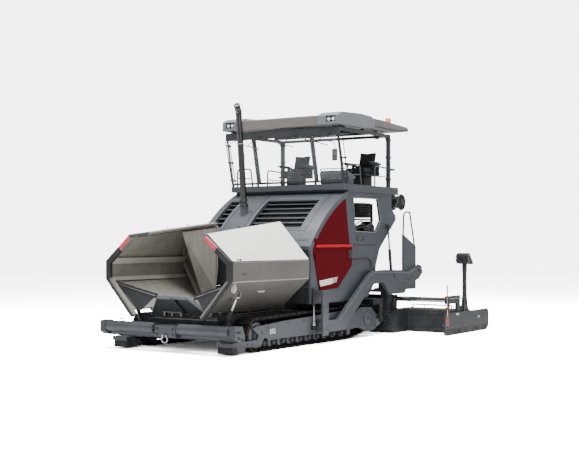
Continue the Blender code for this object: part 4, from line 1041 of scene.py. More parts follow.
# %% [markdown]
# ## Wing lips
# A folded flange stiffens each wing's upper lip. It is thicker at the tip. A dark cord just below it
# is a painted shadow under the flange, and small hooks hold a tarpaulin.

# %% Wing lips
def lip_at(y):
    share = (y - 0.09) / (2.12 - 0.09)
    return part_way((0.75, 1.77), (0.66, 1.98), share)


def add_loft(shape, first, second):
    count = len(first)
    around = [(i, (i + 1) % count, (i + 1) % count + count, i + count) for i in range(count)]
    add_faces(shape, [*first, *second], [tuple(range(count)), tuple(range(count, 2 * count)), *around])


def lip_flange(shape, s, y0, y1, grow=0.0):
    section = [
        (0.016 + grow, -0.030), (0.016 + grow, 0.012 + grow), (-0.045, 0.018 + grow), (-0.045, 0.004),
        (-0.004, -0.030),
    ]
    ends = []
    for y in (y0, y1):
        x, z = lip_at(y)
        ends.append([((x + a) * s, y, z + b) for a, b in section])
    add_loft(shape, *ends)


mirrored(
    "tip_flange", "pale_body", "hopper_wing_{side}", lambda shape,
    s: lip_flange(shape, s, 0.060, 0.46, 0.004), 0.003,
)
mirrored(
    "lip_flange", "cream_strip", "hopper_wing_{side}", lambda shape, s: lip_flange(shape, s, 0.46, 2.115),
    0.003,
)


# A near-black cord just under the flange, as a painted shadow.
def lip_shadow(shape, s):
    path = [((lip_at(y)[0] + 0.022) * s, y, lip_at(y)[1] - 0.034) for y in (0.30, 1.2, 2.10)]
    add_tube(shape, path, 0.007, 8)


mirrored("lip_shadow_strip", "frame", "hopper_wing_{side}", lip_shadow, 0)


def tarp_hooks(shape, s):
    for y in (0.95, 1.45, 1.98):
        x, z = lip_at(y)
        path = [
            (x * s, y, z), (x * s, y, z + 0.035), ((x + 0.006) * s, y - 0.02, z + 0.050),
            ((x + 0.006) * s, y - 0.045, z + 0.036),
        ]
        add_tube(shape, smooth_path(path, 4), 0.006, 8)


mirrored("tarp_hooks", "dark_steel", "hopper_wing_{side}", tarp_hooks, 0)


print("lips fitted")

# %% [markdown]
# ## Wing linings
# Wear plates are welded along the folds inside, and strips close the corners. A handle and a lower
# lug are fixed outside.

# %% Wing linings
def fold_plates(shape, s):
    low, high = (1.180, 1.325), (1.130, 1.420)
    for (a, b), y0, y1 in (((low, high), 0.14, 1.93), (((1.183, 1.125), (1.135, 1.065)), 0.14, 1.95)):
        across = [
            (a[0] * s, a[1]), (b[0] * s, b[1]), ((b[0] - 0.008) * s, b[1] - 0.004),
            ((a[0] - 0.010) * s, a[1] - 0.002),
        ]
        add_prism(shape, "Y", across, y0, y1)


mirrored("fold_plates", "cream_strip", "hopper_wing_{side}", fold_plates, 0.002)


def corner_strips(shape, s):
    """The light plate that runs diagonally up the rear corner of the wing."""
    for a, b in (((1.175, 1.93, 1.31), (0.76, 1.84, 0.735)), ((1.165, 1.93, 1.38), (0.74, 1.42, 1.80))):
        a, b = Vector(a), Vector(b)
        across = Vector((0.0, 0.055, 0.02))
        lift = Vector((-0.010, -0.012, 0.004))
        ring_a = [a - across, a + across, a + across + lift, a - across + lift]
        ring_b = [b - across, b + across, b + across + lift, b - across + lift]
        add_loft(shape, [(p.x * s, p.y, p.z) for p in ring_a], [(p.x * s, p.y, p.z) for p in ring_b])


mirrored("corner_strips", "cream_strip", "hopper_wing_{side}", corner_strips, 0.002)


def wing_handles(shape, s):
    add_tube(
        shape,
        rounded_path(
            [
                (1.226 * s, 0.20, 1.40), (1.250 * s, 0.20, 1.42), (1.250 * s, 0.28, 1.42),
                (1.226 * s, 0.28, 1.40),
            ],
            0.02,
        ),
        0.008, 8,
    )
    add_tube(
        shape,
        rounded_path(
            [
                (1.226 * s, 0.30, 1.18), (1.246 * s, 0.30, 1.20), (1.246 * s, 0.42, 1.20),
                (1.226 * s, 0.42, 1.18),
            ],
            0.02,
        ),
        0.008, 8,
    )


mirrored("wing_handles", "dark_steel", "hopper_wing_{side}", wing_handles, 0)


def lower_lug(shape, s):
    add_prism(
        shape, "Y",
        [(1.16 * s, 1.02), (1.215 * s, 1.07), (1.232 * s, 0.98), (1.19 * s, 0.92), (1.15 * s, 0.95)],
        0.15, 0.19,
    )
    add_prism(shape, "X", [(0.90, 0.96), (1.20, 0.96), (1.12, 0.90), (0.98, 0.90)], 1.045 * s, 1.065 * s)


mirrored("wing_lower_lug", "cream_strip", "hopper_wing_{side}", lower_lug)
print("wings edged")

# %% [markdown]
# ## Gussets and the front apron
# Stiff gussets close the gap between each wing and the apron, with a hanging rubber flap on top. The
# apron has a pale folded edge and a slanted bar in the middle.

# %% Gussets and apron
A, B, C = Vector((1.10, 0.145, 1.06)), Vector((0.37, 0.30, 0.87)), Vector((0.64, 0.20, 0.60))
GUSSET_OUT = (B - A).cross(C - A).normalized()


def gusset_flap(shape, s):
    normal = GUSSET_OUT * 0.011
    drop = (C - (A + B) / 2).normalized() * 0.085
    for near, far in ((A, B),):
        first = [near - normal, near + normal, near + normal + drop * 0.75, near - normal + drop * 0.75]
        second = [far - normal, far + normal, far + normal + drop, far - normal + drop]
        add_loft(shape, [(p.x * s, p.y, p.z) for p in first], [(p.x * s, p.y, p.z) for p in second])
    for a, b in ((A, C),):
        add_tube(shape, [(a.x * s, a.y - 0.004, a.z), (b.x * s, b.y - 0.004, b.z)], 0.016, 8)


mirrored("gusset_rubber", "rubber", "hopper_wing_{side}", gusset_flap, 0.004)


def gusset_bar(shape, s):
    shift = GUSSET_OUT * (0.016 if GUSSET_OUT.y < 0 else -0.016)
    drop = (C - (A + B) / 2).normalized() * 0.05
    a, b = A + shift + drop * 0.8, B + shift + drop
    add_tube(shape, [(p.x * s, p.y, p.z) for p in (a.lerp(b, 0.04), a.lerp(b, 0.94))], 0.008, 8)


mirrored("gusset_bar", "steel", "hopper_wing_{side}", gusset_bar, 0)
apron = bmesh.new()
add_box(apron, (-0.285, 0.285), (0.186, 0.272), (0.838, 0.852))
add_box(apron, (-0.285, 0.285), (0.183, 0.191), (0.800, 0.850))
for s in SIDES.values():
    top = [(0.285 * s, y, z) for y, z in ((0.183, 0.852), (0.262, 0.852), (0.262, 0.838), (0.183, 0.812))]
    low = [(0.582 * s, y, z) for y, z in ((0.380, 0.568), (0.450, 0.568), (0.450, 0.554), (0.380, 0.528))]
    add_loft(apron, top, low)
finish("apron_flange", apron, "pale_body", "hopper_apron", 0.003)
bracket = bmesh.new()
bracket_top = [(-0.03, 0.176, 0.815), (0.03, 0.176, 0.815), (0.03, 0.215, 0.815), (-0.03, 0.215, 0.815)]
bracket_foot = [
    (0.085, 0.325, 0.565), (0.145, 0.325, 0.565), (0.145, 0.365, 0.565), (0.085, 0.365, 0.565),
]
add_loft(bracket, bracket_top, bracket_foot)
add_box(bracket, (-0.22, 0.22), (0.355, 0.375), (0.555, 0.585))
finish("apron_bracket", bracket, "frame", "hopper_apron", 0.004)
rail = bmesh.new()
add_bar(rail, (-0.30, 0.348, 0.592), (0.10, 0.348, 0.592), 0.012)
for x in (-0.28, -0.12, 0.05):
    add_box(rail, (x - 0.012, x + 0.012), (0.345, 0.385), (0.530, 0.592))
finish("apron_rail", rail, "steel", "hopper_apron", 0)
print("apron fitted")

# %% [markdown]
# ## Hood
# The hood's front is one long curve. Panel gaps show as thin dark lines on it, so each gap is a slim
# dark cord half sunk into the sheet. Hexagon-headed bolts hold the panels, and each faces the way the
# sheet faces at its place.

# %% Hood lines and bolts
ARC = ((2.25, 1.60), (2.72, 2.10), (3.42, 2.53))


def circle_through(a, b, c):
    d = 2 * (a[0] * (b[1] - c[1]) + b[0] * (c[1] - a[1]) + c[0] * (a[1] - b[1]))
    sq = [p[0] ** 2 + p[1] ** 2 for p in (a, b, c)]
    x = (sq[0] * (b[1] - c[1]) + sq[1] * (c[1] - a[1]) + sq[2] * (a[1] - b[1])) / d
    y = (sq[0] * (c[0] - b[0]) + sq[1] * (a[0] - c[0]) + sq[2] * (b[0] - a[0])) / d
    return (x, y), math.dist((x, y), a)


HUB, HUB_R = circle_through(*ARC)


def on_hood(z, proud=0.0):
    """The y of the hood's skin at height z, and the way it faces there."""
    y = HUB[0] - math.sqrt(max(0.0, HUB_R ** 2 - (z - HUB[1]) ** 2))
    way = Vector((0, y - HUB[0], z - HUB[1])).normalized()
    return y + way.y * proud, z + way.z * proud, tuple(way)


def hood_line(shape, x, z0, z1, s=1, radius=0.004):
    heights = [z0 + (z1 - z0) * i / 14 for i in range(15)]
    add_tube(shape, [(x * s, *on_hood(z, 0.0005)[:2]) for z in heights], radius, 6)


def hood_cross(shape, x0, x1, z, radius=0.004):
    add_tube(shape, [(x, *on_hood(z, 0.0005)[:2]) for x in (x0, (x0 + x1) / 2, x1)], radius, 6)


gaps = bmesh.new()
for x, z0, z1 in ((0.95, 1.86, 2.50), (-1.10, 1.86, 2.50), (-0.345, 1.86, 2.50), (-0.76, 1.86, 2.50)):
    hood_line(gaps, x, z0, z1)
for x0, x1, z in ((-0.345, 0.95, 1.86), (-1.10, -0.76, 1.86), (-1.09, 1.09, 1.70), (-0.76, -0.345, 2.47)):
    hood_cross(gaps, x0, x1, z)
finish("hood_gaps", gaps, "rubber", "tractor", 0)
places = []
for x in (-1.03, -0.66, -0.42, 0.90):
    for z in (1.79, 1.92, 2.20, 2.46):
        y, height, way = on_hood(z)
        places.append(((x, y, height), way))
for x in (-0.2, 0.1, 0.4, 0.7):
    y, height, way = on_hood(1.79)
    places.append(((x, y, height), way))
bolts("hood_bolts", places, "tractor", radius=0.009, height=0.006, look="dark_steel")


print("hood lines laid")

# %% [markdown]
# ## Grilles and cooling pack
# A pale frame surrounds each grille. Behind the slats a finned core stands before a dark backing, so
# no light shows through the hood.

# %% Grilles and cooling pack
def grille_frames(shape, x0, x1):
    for x in (x0, x1):
        hood_line(shape, x, 1.905, 2.415, radius=0.010)
    for z in (1.905, 2.415):
        hood_cross(shape, x0, x1, z, radius=0.010)


frames = bmesh.new()
grille_frames(frames, -0.275, 0.835)
grille_frames(frames, -1.072, -0.828)
finish("grille_frames", frames, "pale_body", "tractor", 0)
core = bmesh.new()
for x0, x1 in ((-0.26, 0.82), (-1.06, -0.84)):
    for i in range(int((x1 - x0) / 0.03)):
        x = x0 + 0.02 + 0.03 * i
        y0, z0, _ = on_hood(1.95, -0.075)
        y1, z1, _ = on_hood(2.38, -0.075)
        add_tube(core, [(x, y0, z0), (x, *on_hood(2.16, -0.085)[:2]), (x, y1, z1)], 0.004, 4)
finish("radiator_fins", core, "dark_steel", "tractor", 0)
backing = bmesh.new()
for x0, x1 in ((-0.44, 1.02), (-1.13, -0.72)):
    low_y, low_z, _ = on_hood(1.80, -0.11)
    high_y, high_z, _ = on_hood(2.475, -0.11)
    quad = [(low_y, low_z), (high_y, high_z), (high_y + 0.012, high_z), (low_y + 0.012, low_z)]
    add_prism(backing, "X", quad, x0, x1)
finish("radiator_core", backing, "rubber", "tractor", 0)
hood_handles = bmesh.new()
for x in (0.30, -0.90):
    y, z, way = on_hood(1.76)
    base = Vector((x, y, z))
    lift = Vector(way) * 0.03
    path = [base, base + lift, base + lift + Vector((0.13, 0, 0)), base + Vector((0.13, 0, 0))]
    add_tube(hood_handles, rounded_path(path, 0.015), 0.007, 8)
finish("hood_handles", hood_handles, "dark_steel", "tractor", 0)
print("hood radius", round(HUB_R, 3))

# %% [markdown]
# ## Exhaust
# The polished pipe ends in a black outlet that is cut slanting. Two clamp rings with a lug hold its foot.

# %% Exhaust
FOOT, TOP = Vector((-0.54, 2.79, 2.263)), Vector((-0.54, 2.62, 4.00))
WAY = (TOP - FOOT).normalized()
BEND = TOP - WAY * 0.08
OUTLET = BEND + Vector((0.03, -0.10, 0.115))
beak = bmesh.new()
add_turned(beak, BEND - WAY * 0.045, BEND + WAY * 0.004, [(0, 0.0562), (1, 0.0562)], 24)
add_turned(
    beak, BEND - (OUTLET - BEND).normalized() * 0.012, BEND.lerp(OUTLET, 0.995),
    [(0, 0.0566), (1, 0.0566)], 24,
)
finish("exhaust_outlet", beak, "black_paint", "exhaust", 0)
mouth = bmesh.new()
add_turned(mouth, BEND.lerp(OUTLET, 0.99), BEND.lerp(OUTLET, 1.006), [(0, 0.047), (1, 0.047)], 24)
finish("exhaust_mouth", mouth, "rubber", "exhaust", 0)
clamp = bmesh.new()
for rise in (0.075, 0.115):
    add_turned(
        clamp, FOOT + WAY * rise, FOOT + WAY * (rise + 0.02),
        [(0, 0.058), (0.2, 0.064), (0.8, 0.064), (1, 0.058)], 24,
    )
add_box(clamp, (-0.625, -0.585), (2.765, 2.800), (2.335, 2.400))
add_box(clamp, (-0.660, -0.590), (2.770, 2.790), (2.345, 2.365))
finish("exhaust_clamp", clamp, "dark_steel", "exhaust", 0.002)
shield = bmesh.new()
add_turned(
    shield, FOOT + WAY * 1.1, FOOT + WAY * 1.118, [(0, 0.0555), (0.2, 0.059), (0.8, 0.059), (1, 0.0555)],
    24,
)
finish("exhaust_joint_ring", shield, "steel", "exhaust", 0)
print("exhaust fitted")

# %% [markdown]
# ## Side doors
# The deep red door has a raised bright bar at belt height, a black latch at its rear edge, two hinges
# at its front and a blank name plate that ends in slanting stripes.

# %% Doors
def belt_bar(shape, s):
    add_prism(
        shape, "X", [(2.395, 1.577), (3.555, 1.577), (3.555, 1.624), (2.395, 1.624)], 1.190 * s,
        1.2105 * s,
    )


def door_latch(shape, s):
    add_box(shape, (1.188 * s, 1.203 * s), (3.43, 3.535), (1.40, 1.52))
    add_box(shape, (1.198 * s, 1.213 * s), (3.455, 3.510), (1.44, 1.505))


def door_hinges(shape, s):
    for z in (1.40, 1.66):
        add_bar(shape, (1.197 * s, 2.372, z), (1.197 * s, 2.372, z + 0.07), 0.009, 12)
        add_box(shape, (1.190 * s, 1.198 * s), (2.376, 2.44), (z + 0.010, z + 0.060))


def name_plate(shape, s):
    slope = 0.035
    add_prism(
        shape, "X", [(2.535, 0.935), (2.90, 0.935 + slope), (2.94, 1.035 + slope), (2.505, 1.030)],
        1.190 * s, 1.1965 * s,
    )
    for i in range(3):
        y = 2.925 + 0.045 * i
        z = 0.945 + slope + 0.004 * i
        add_prism(
            shape, "X", [(y, z), (y + 0.016, z), (y + 0.060, z + 0.095), (y + 0.044, z + 0.095)],
            1.190 * s, 1.1965 * s,
        )


fit_pairs("side_door_{side}", {
    "door_belt_bar": ("bright_red", belt_bar, 0.006),
    "door_latch": ("plastic", door_latch, 0.004),
    "door_hinges": ("red", door_hinges, 0.002),
    "name_plate": ("white", name_plate, 0.001),
})
print("doors fitted")

# %% [markdown]
# ## Side panels
# Behind the door a panel frames an open window. It carries two small embossed arcs, a gap line at belt
# height, a tube that bends down to a dark recess, and bolts.

# %% Side panels
WINDOW = [(3.62, 2.43), (4.48, 2.43), (4.58, 2.05), (4.40, 1.83), (3.68, 1.85)]


def window_rim(shape, s):
    corners = [(1.1815 * s, y, z) for y, z in WINDOW]
    add_tube(shape, rounded_path([*corners, corners[0]], 0.03), 0.008, 8)


def panel_gaps(shape, s):
    x = 1.1803 * s
    add_tube(shape, [(x, 3.60, 1.615), (x, 4.43, 1.615)], 0.007, 6)
    add_tube(
        shape, smooth_path([(x, 3.58, 0.80), (x, 3.80, 0.78), (x, 4.12, 0.80), (x, 4.30, 0.96)], 6),
        0.005, 6,
    )
    add_tube(shape, [(x, 3.40, 2.40), (x, 4.88, 2.49)], 0.004, 6)


def panel_tube(shape, s):
    x = 1.192 * s
    path = [(x, 3.60, 1.37), (x, 4.12, 1.38), (x, 4.22, 1.33), (x, 4.24, 1.22)]
    add_tube(shape, rounded_path(path, 0.09, 6), 0.009, 8)


def panel_recess(shape, s):
    add_box(shape, (1.181 * s, 1.187 * s), (4.06, 4.24), (1.02, 1.15))


def recess_rim(shape, s):
    for y0, y1, z0, z1 in (
        (4.045, 4.06, 1.005, 1.165), (4.24, 4.255, 1.005, 1.165), (4.06, 4.24, 1.005, 1.02),
        (4.06, 4.24, 1.15, 1.165),
    ):
        add_box(shape, (1.181 * s, 1.191 * s), (y0, y1), (z0, z1))


# %% [markdown]
# ## Arcs, bolts and the front corner
# Two embossed arcs sit below the window. Bolts hold the panel and its posts, and a corner piece joins
# it to the hood.

# %% Arcs, bolts and front corner
def embossed_arcs(shape, s):
    for centre, opening in ((3.78, 0.5), (3.93, -2.6)):
        arc = []
        for i in range(17):
            angle = opening + 4.6 * i / 16
            arc.append((1.182 * s, centre + 0.040 * math.cos(angle), 1.725 + 0.040 * math.sin(angle)))
        add_tube(shape, arc, 0.008, 8)


fit_pairs("tractor", {
    "window_rim": ("pale_body", window_rim, 0),
    "panel_gaps": ("rubber", panel_gaps, 0),
    "panel_tube": ("dark_steel", panel_tube, 0),
    "panel_recess": ("rubber", panel_recess, 0.002),
    "recess_rim": ("body", recess_rim, 0.002),
    "embossed_arcs": ("frame", embossed_arcs, 0),
})
panel_bolts = [
    (1.18, y, z)
    for y, z in (
        (3.62, 1.70), (4.10, 1.70), (4.62, 2.30), (4.78, 2.10), (4.42, 1.50), (3.70, 1.28), (4.30, 1.40),
        (4.86, 2.40),
    )
]
mirrored_bolts(
    "panel_bolts", [(p, OUT) for p in panel_bolts], "tractor", radius=0.009, height=0.006, look="body",
)


def post_bolts(z):
    return [(1.335, y, z) for y in (2.43, 2.53)]


post = [p for z in (0.82, 0.62, 0.24) for p in post_bolts(z)]
mirrored_bolts("post_bolts", [(p, OUT) for p in post], "tractor", radius=0.013, height=0.010, look="body")


def front_corner(shape, s):
    """The rolled front edge between the hood and the door, and the shelf under it."""
    add_tube(shape, [(1.172 * s, 2.262, 0.68), (1.172 * s, 2.262, 1.58)], 0.012, 10)
    add_box(shape, (0.86 * s, 1.178 * s), (2.232, 2.252), (0.93, 0.95))


mirrored("front_corner", "body", "tractor", front_corner, 0.002)
print("side panels fitted")

# %% [markdown]
# ## Behind the windows
# Through the window one sees a black folded bellows under the driver's place, and below it pumps, pipes
# and a cooler. The bellows repeat one ring, so Geometry Nodes stack it.

# %% Bellows and machinery
def bellows_recipe():
    made = Recipe("bellows", rings=int, radius=float, pitch=float)
    rings, radius, pitch = (made.given(label) for label in ("rings", "radius", "pitch"))
    offset = made.add("ShaderNodeCombineXYZ", {"Z": pitch})
    stack = made.add("GeometryNodeMeshLine", {"Count": rings, "Offset": offset})
    wide = made.add("ShaderNodeMath", {0: radius, 1: 1.10}, operation="MULTIPLY")
    cone_up = made.add(
        "GeometryNodeMeshCone",
        {"Vertices": 28, "Radius Top": wide, "Radius Bottom": radius, "Depth": 0.018},
    )
    up = made.add("ShaderNodeCombineXYZ", {"Z": 0.018})
    cone_down = made.add(
        "GeometryNodeMeshCone",
        {"Vertices": 28, "Radius Top": radius, "Radius Bottom": wide, "Depth": 0.018},
    )
    cone_down = made.add("GeometryNodeTransform", {"Geometry": cone_down, "Translation": up})
    fold = made.add("GeometryNodeJoinGeometry", {0: [cone_up, cone_down]})
    placed = made.add("GeometryNodeInstanceOnPoints", {"Points": stack, "Instance": fold})

    return made, placed


def bellows(name, x, y, z, rings=7, radius=0.28, pitch=0.038):
    made, placed = bellows_recipe()
    stretch = made.add(
        "GeometryNodeTransform",
        {"Geometry": placed, "Translation": (x, y + FRONT, z), "Scale": (0.62, 1.0, 1.0)},
    )
    made.close(stretch)
    mesh = bpy.data.meshes.new("start")
    return made.make(name, mesh, "rubber", "tractor", rings=rings, radius=radius, pitch=pitch)


for side, s in SIDES.items():
    bellows(f"seat_bellows_{side}", 0.80 * s, 4.46, 2.10)


def machinery(shape, s):
    add_box(shape, (0.60 * s, 1.05 * s), (3.90, 4.86), (1.66, 1.72))
    add_turned(
        shape, (0.80 * s, 4.16, 1.72), (0.80 * s, 4.16, 1.99),
        [(0, 0.11), (0.7, 0.11), (0.85, 0.07), (1, 0.05)], 20,
    )
    profile = [(0, 0.09), (0.3, 0.09), (0.32, 0.12), (0.6, 0.12), (0.62, 0.07), (1, 0.07)]
    add_turned(shape, (0.64 * s, 4.46, 1.85), (0.96 * s, 4.46, 1.85), profile, 20)
    add_prism(
        shape, "X", [(4.54, 1.72), (4.86, 1.72), (4.86, 1.96), (4.72, 2.04), (4.54, 1.90)], 0.72 * s,
        0.90 * s,
    )
    add_box(shape, (0.84 * s, 0.88 * s), (3.90, 4.86), (2.05, 2.08))
    for y in (3.94, 4.82):
        add_box(shape, (0.84 * s, 0.88 * s), (y - 0.02, y + 0.02), (1.70, 2.36))


def machinery_pipes(shape, s):
    for shift in (0.0, 0.05, 0.10):
        path = [
            (0.92 * s, 4.12, 1.97 - shift), (0.98 * s, 4.26, 2.03 - shift),
            (0.96 * s, 4.44, 1.94 - shift), (0.92 * s, 4.72, 2.02 - shift / 2),
        ]
        add_tube(shape, smooth_path(path, 6), 0.012, 8)


mirrored("machinery", "dark_steel", "tractor", machinery, 0.004)
mirrored("machinery_pipes", "steel", "tractor", machinery_pipes, 0)
print("windows filled")

# %% [markdown]
# ## Canopy
# The roof's front is a warm grey fascia between two blue-grey corner blocks, which wrap round to the
# sides and hold the work lamps. Three wipers are parked at the top of the screen, and a thin folding
# frame stands at each front corner.

# %% Canopy corners and lamps
BLOCK = [
    (3.058, 3.652), (3.062, 3.815), (3.18, 3.872), (3.80, 3.896), (4.20, 3.882), (4.32, 3.80),
    (4.30, 3.672), (3.90, 3.655),
]


def corner_block(shape, s):
    add_prism(shape, "X", BLOCK, 0.80 * s, 0.968 * s)
    add_prism(shape, "X", BLOCK, 1.152 * s, 1.222 * s)
    add_prism(
        shape, "X",
        [(3.062, 3.797), (3.062, 3.815), (3.18, 3.872), (3.80, 3.896), (4.20, 3.882), (4.25, 3.85)],
        0.968 * s, 1.152 * s,
    )
    add_prism(
        shape, "X", [(3.058, 3.652), (3.058, 3.698), (3.10, 3.698), (3.10, 3.652)], 0.968 * s, 1.152 * s,
    )


def lamp_cases(shape, s):
    for x in (1.016, 1.104):
        add_turned(
            shape, (x * s, 3.119, 3.747), (x * s, 3.080, 3.747), [(0, 0.030), (0.3, 0.040), (1, 0.042)],
            20,
        )
    add_box(shape, (0.975 * s, 1.145 * s), (3.112, 3.120), (3.702, 3.793))


def lamp_faces(shape, s):
    for x in (1.016, 1.104):
        add_turned(
            shape, (x * s, 3.085, 3.747), (x * s, 3.077, 3.747), [(0, 0.037), (0.4, 0.036), (1, 0.020)],
            20,
        )


fit_pairs("tractor", {
    "canopy_corner": ("pale_body", corner_block, 0.012),
    "work_lamp_case": ("plastic", lamp_cases, 0.002),
    "work_lamp_lens": ("lamp", lamp_faces, 0),
})
gutter = bmesh.new()
for s in SIDES.values():
    add_tube(
        gutter, [(1.207 * s, 4.32, 3.72), (1.207 * s, 5.10, 3.715), (1.207 * s, 5.58, 3.745)], 0.008, 8,
    )
add_tube(gutter, [(-1.19, 5.612, 3.74), (1.19, 5.612, 3.74)], 0.009, 8)
finish("roof_gutter", gutter, "trim", "tractor", 0)
ribs = bmesh.new()
for y in (4.45, 4.75, 5.05, 5.35):
    add_box(ribs, (-1.0, 1.0), (y, y + 0.05), (3.842 - (y - 4.45) * 0.05, 3.866 - (y - 4.45) * 0.05))
finish("roof_ribs", ribs, "fascia", "tractor", 0.006)
under = bmesh.new()
for y in (3.55, 4.05, 4.55):
    add_box(under, (-1.12, 1.12), (y, y + 0.04), (3.60, 3.652))
for s in SIDES.values():
    add_box(under, (0.30 * s, 0.62 * s), (4.10, 4.36), (3.610, 3.650))
    add_tube(
        under,
        rounded_path(
            [
                (1.05 * s, 4.60, 3.60), (1.05 * s, 4.60, 3.53), (1.05 * s, 4.74, 3.53),
                (1.05 * s, 4.74, 3.60),
            ],
            0.03,
        ),
        0.012, 8,
    )
finish("roof_underside", under, "trim", "tractor", 0.003)


print("canopy roof fitted")

# %% [markdown]
# ## Wipers, side screens and mirrors
# Wipers lie a little in front of the leaning glass. Thin frames hold the side screens and two mirrors
# hang inside them.

# %% Wipers, side screens and mirrors
def glass_y(z):
    return 3.278 - (z - 2.73) * 0.180 / 0.74


def wiper(shape, x):
    pivot = Vector((x, glass_y(3.50) - 0.030, 3.515))
    hub = Vector((x - 0.27, glass_y(3.37) - 0.024, 3.375))
    add_bar(shape, pivot, pivot + Vector((0, 0.03, 0)), 0.018, 12)
    add_tube(shape, [pivot, hub], 0.007, 8)
    ends = [(x - 0.50, glass_y(3.43) - 0.014, 3.43), (x - 0.05, glass_y(3.31) - 0.014, 3.31)]
    add_tube(shape, ends, 0.009, 6)
    add_tube(shape, [hub, Vector(ends[0]).lerp(Vector(ends[1]), 0.5)], 0.006, 6)


wipers = bmesh.new()
for x in (-0.42, 0.32, 1.02):
    wiper(wipers, x)
finish("wipers", wipers, "plastic", "tractor", 0)


def side_frame(shape, s):
    for shift, top in ((0.0, 3.47), (0.11, 3.44)):
        low = (1.196 * s, 3.32 + shift, 2.70)
        high = (1.196 * s, glass_y(top) + 0.02 + shift, top)
        add_tube(shape, [low, high], 0.0085, 8)
    for z in (2.78, 3.10, 3.40):
        y = glass_y(z) + 0.03
        add_box(shape, (1.185 * s, 1.205 * s), (y - 0.02, y + 0.13), (z - 0.012, z + 0.012))
        add_bar(shape, (1.180 * s, y + 0.11, z), (1.214 * s, y + 0.11, z), 0.020, 12)
    add_tube(
        shape,
        [
            (1.196 * s, glass_y(3.45) + 0.02, 3.45), (1.196 * s, glass_y(3.45) + 0.20, 3.47),
            (1.17 * s, 3.60, 3.56),
        ],
        0.0075, 8,
    )


def mirrors(shape, s):
    add_tube(
        shape,
        smooth_path(
            [(0.96 * s, glass_y(3.35) + 0.05, 3.38), (0.98 * s, 3.32, 3.36), (0.98 * s, 3.34, 3.24)], 4,
        ),
        0.007, 8,
    )
    add_box(shape, (0.93 * s, 1.03 * s), (3.325, 3.345), (3.06, 3.26))


mirrored("side_screen_frame", "plastic", "tractor", side_frame, 0.002)
mirrored("mirrors", "plastic", "tractor", mirrors, 0.006)


print("screens fitted")

# %% [markdown]
# ## Rails, posts and beacon
# Handrails run round the deck. Sleeves and clamps dress the canopy's posts, and the beacon gets a
# ribbed lens over a collar.

# %% Rails, posts and beacon
def cab_rails(shape, s):
    x = 1.165 * s
    add_tube(
        shape,
        rounded_path([(x, 3.44, 2.655), (x, 3.44, 2.98), (x, 3.86, 3.02), (x, 3.92, 2.655)], 0.08, 5),
        0.014, 10,
    )
    add_tube(
        shape, rounded_path([(x, 4.40, 2.655), (x, 4.40, 3.02), (x, 4.90, 3.00)], 0.08, 5), 0.014, 10,
    )
    add_tube(shape, [(x, 3.45, 2.82), (x, 3.89, 2.84)], 0.010, 8)
    add_tube(shape, [(x, 4.41, 2.84), (x, 4.90, 2.84)], 0.010, 8)


def rear_rail(shape):
    for s in SIDES.values():
        add_tube(
            shape,
            rounded_path(
                [
                    (1.16 * s, 4.93, 3.0), (1.16 * s, 5.20, 2.99), (0.98 * s, 5.22, 2.99),
                    (0.98 * s, 5.22, 2.64),
                ],
                0.06, 4,
            ),
            0.014, 10,
        )
        add_tube(
            shape,
            rounded_path(
                [
                    (1.175 * s, 5.10, 2.62), (1.175 * s, 5.225, 2.60), (1.175 * s, 5.225, 2.35),
                    (1.165 * s, 5.10, 2.28),
                ],
                0.06, 4,
            ),
            0.012, 8,
        )


def post_sleeves(shape, s):
    """Square sleeves round the screen's inner posts and the rear posts."""
    low, high = Vector((0.61, 3.325, 2.69)), Vector((0.61, 3.150, 3.47))
    deep = Vector((0, 0.055, 0.012))
    half = Vector((0.030, 0, 0))
    rings = []
    for place in (low, high):
        corners = [place - half, place + half, place + half + deep, place - half + deep]
        rings.append([(p.x * s, p.y, p.z) for p in corners])
    add_loft(shape, *rings)
    add_box(shape, (1.128 * s, 1.192 * s), (4.875, 4.945), (2.66, 3.61))


def post_clamps(shape, s):
    for z in (2.80, 3.20, 3.52):
        add_box(shape, (1.122 * s, 1.200 * s), (4.868, 4.952), (z - 0.018, z + 0.018))
    add_prism(shape, "X", [(4.91, 3.56), (4.91, 3.44), (4.76, 3.585), (4.80, 3.60)], 1.150 * s, 1.170 * s)


mirrored("cab_rails", "body", "tractor", cab_rails, 0)
rear = bmesh.new()
rear_rail(rear)
finish("rear_rails", rear, "body", "tractor", 0)
mirrored("post_sleeves", "trim", "tractor", post_sleeves, 0.005)
mirrored("post_clamps", "plastic", "tractor", post_clamps, 0.003)
lens_ribs = bmesh.new()
for i in range(5):
    z = 3.868 + 0.016 * i
    add_turned(
        lens_ribs, (1.0, 5.20, z), (1.0, 5.20, z + 0.007), [(0, 0.0525), (0.5, 0.0538), (1, 0.0525)], 28,
    )
finish("beacon_ribs", lens_ribs, "orange", "tractor", 0)
collar = bmesh.new()
add_turned(collar, (1.0, 5.20, 3.825), (1.0, 5.20, 3.858), [(0, 0.058), (0.7, 0.058), (1, 0.050)], 28)
finish("beacon_collar", collar, "plastic", "tractor", 0)
print("canopy fitted")

# %% [markdown]
# ## Platform deck
# The driver stands on tread plate, whose raised lozenges are laid out by Geometry Nodes: one grid of
# points, with one lozenge turned left or right on every other point.

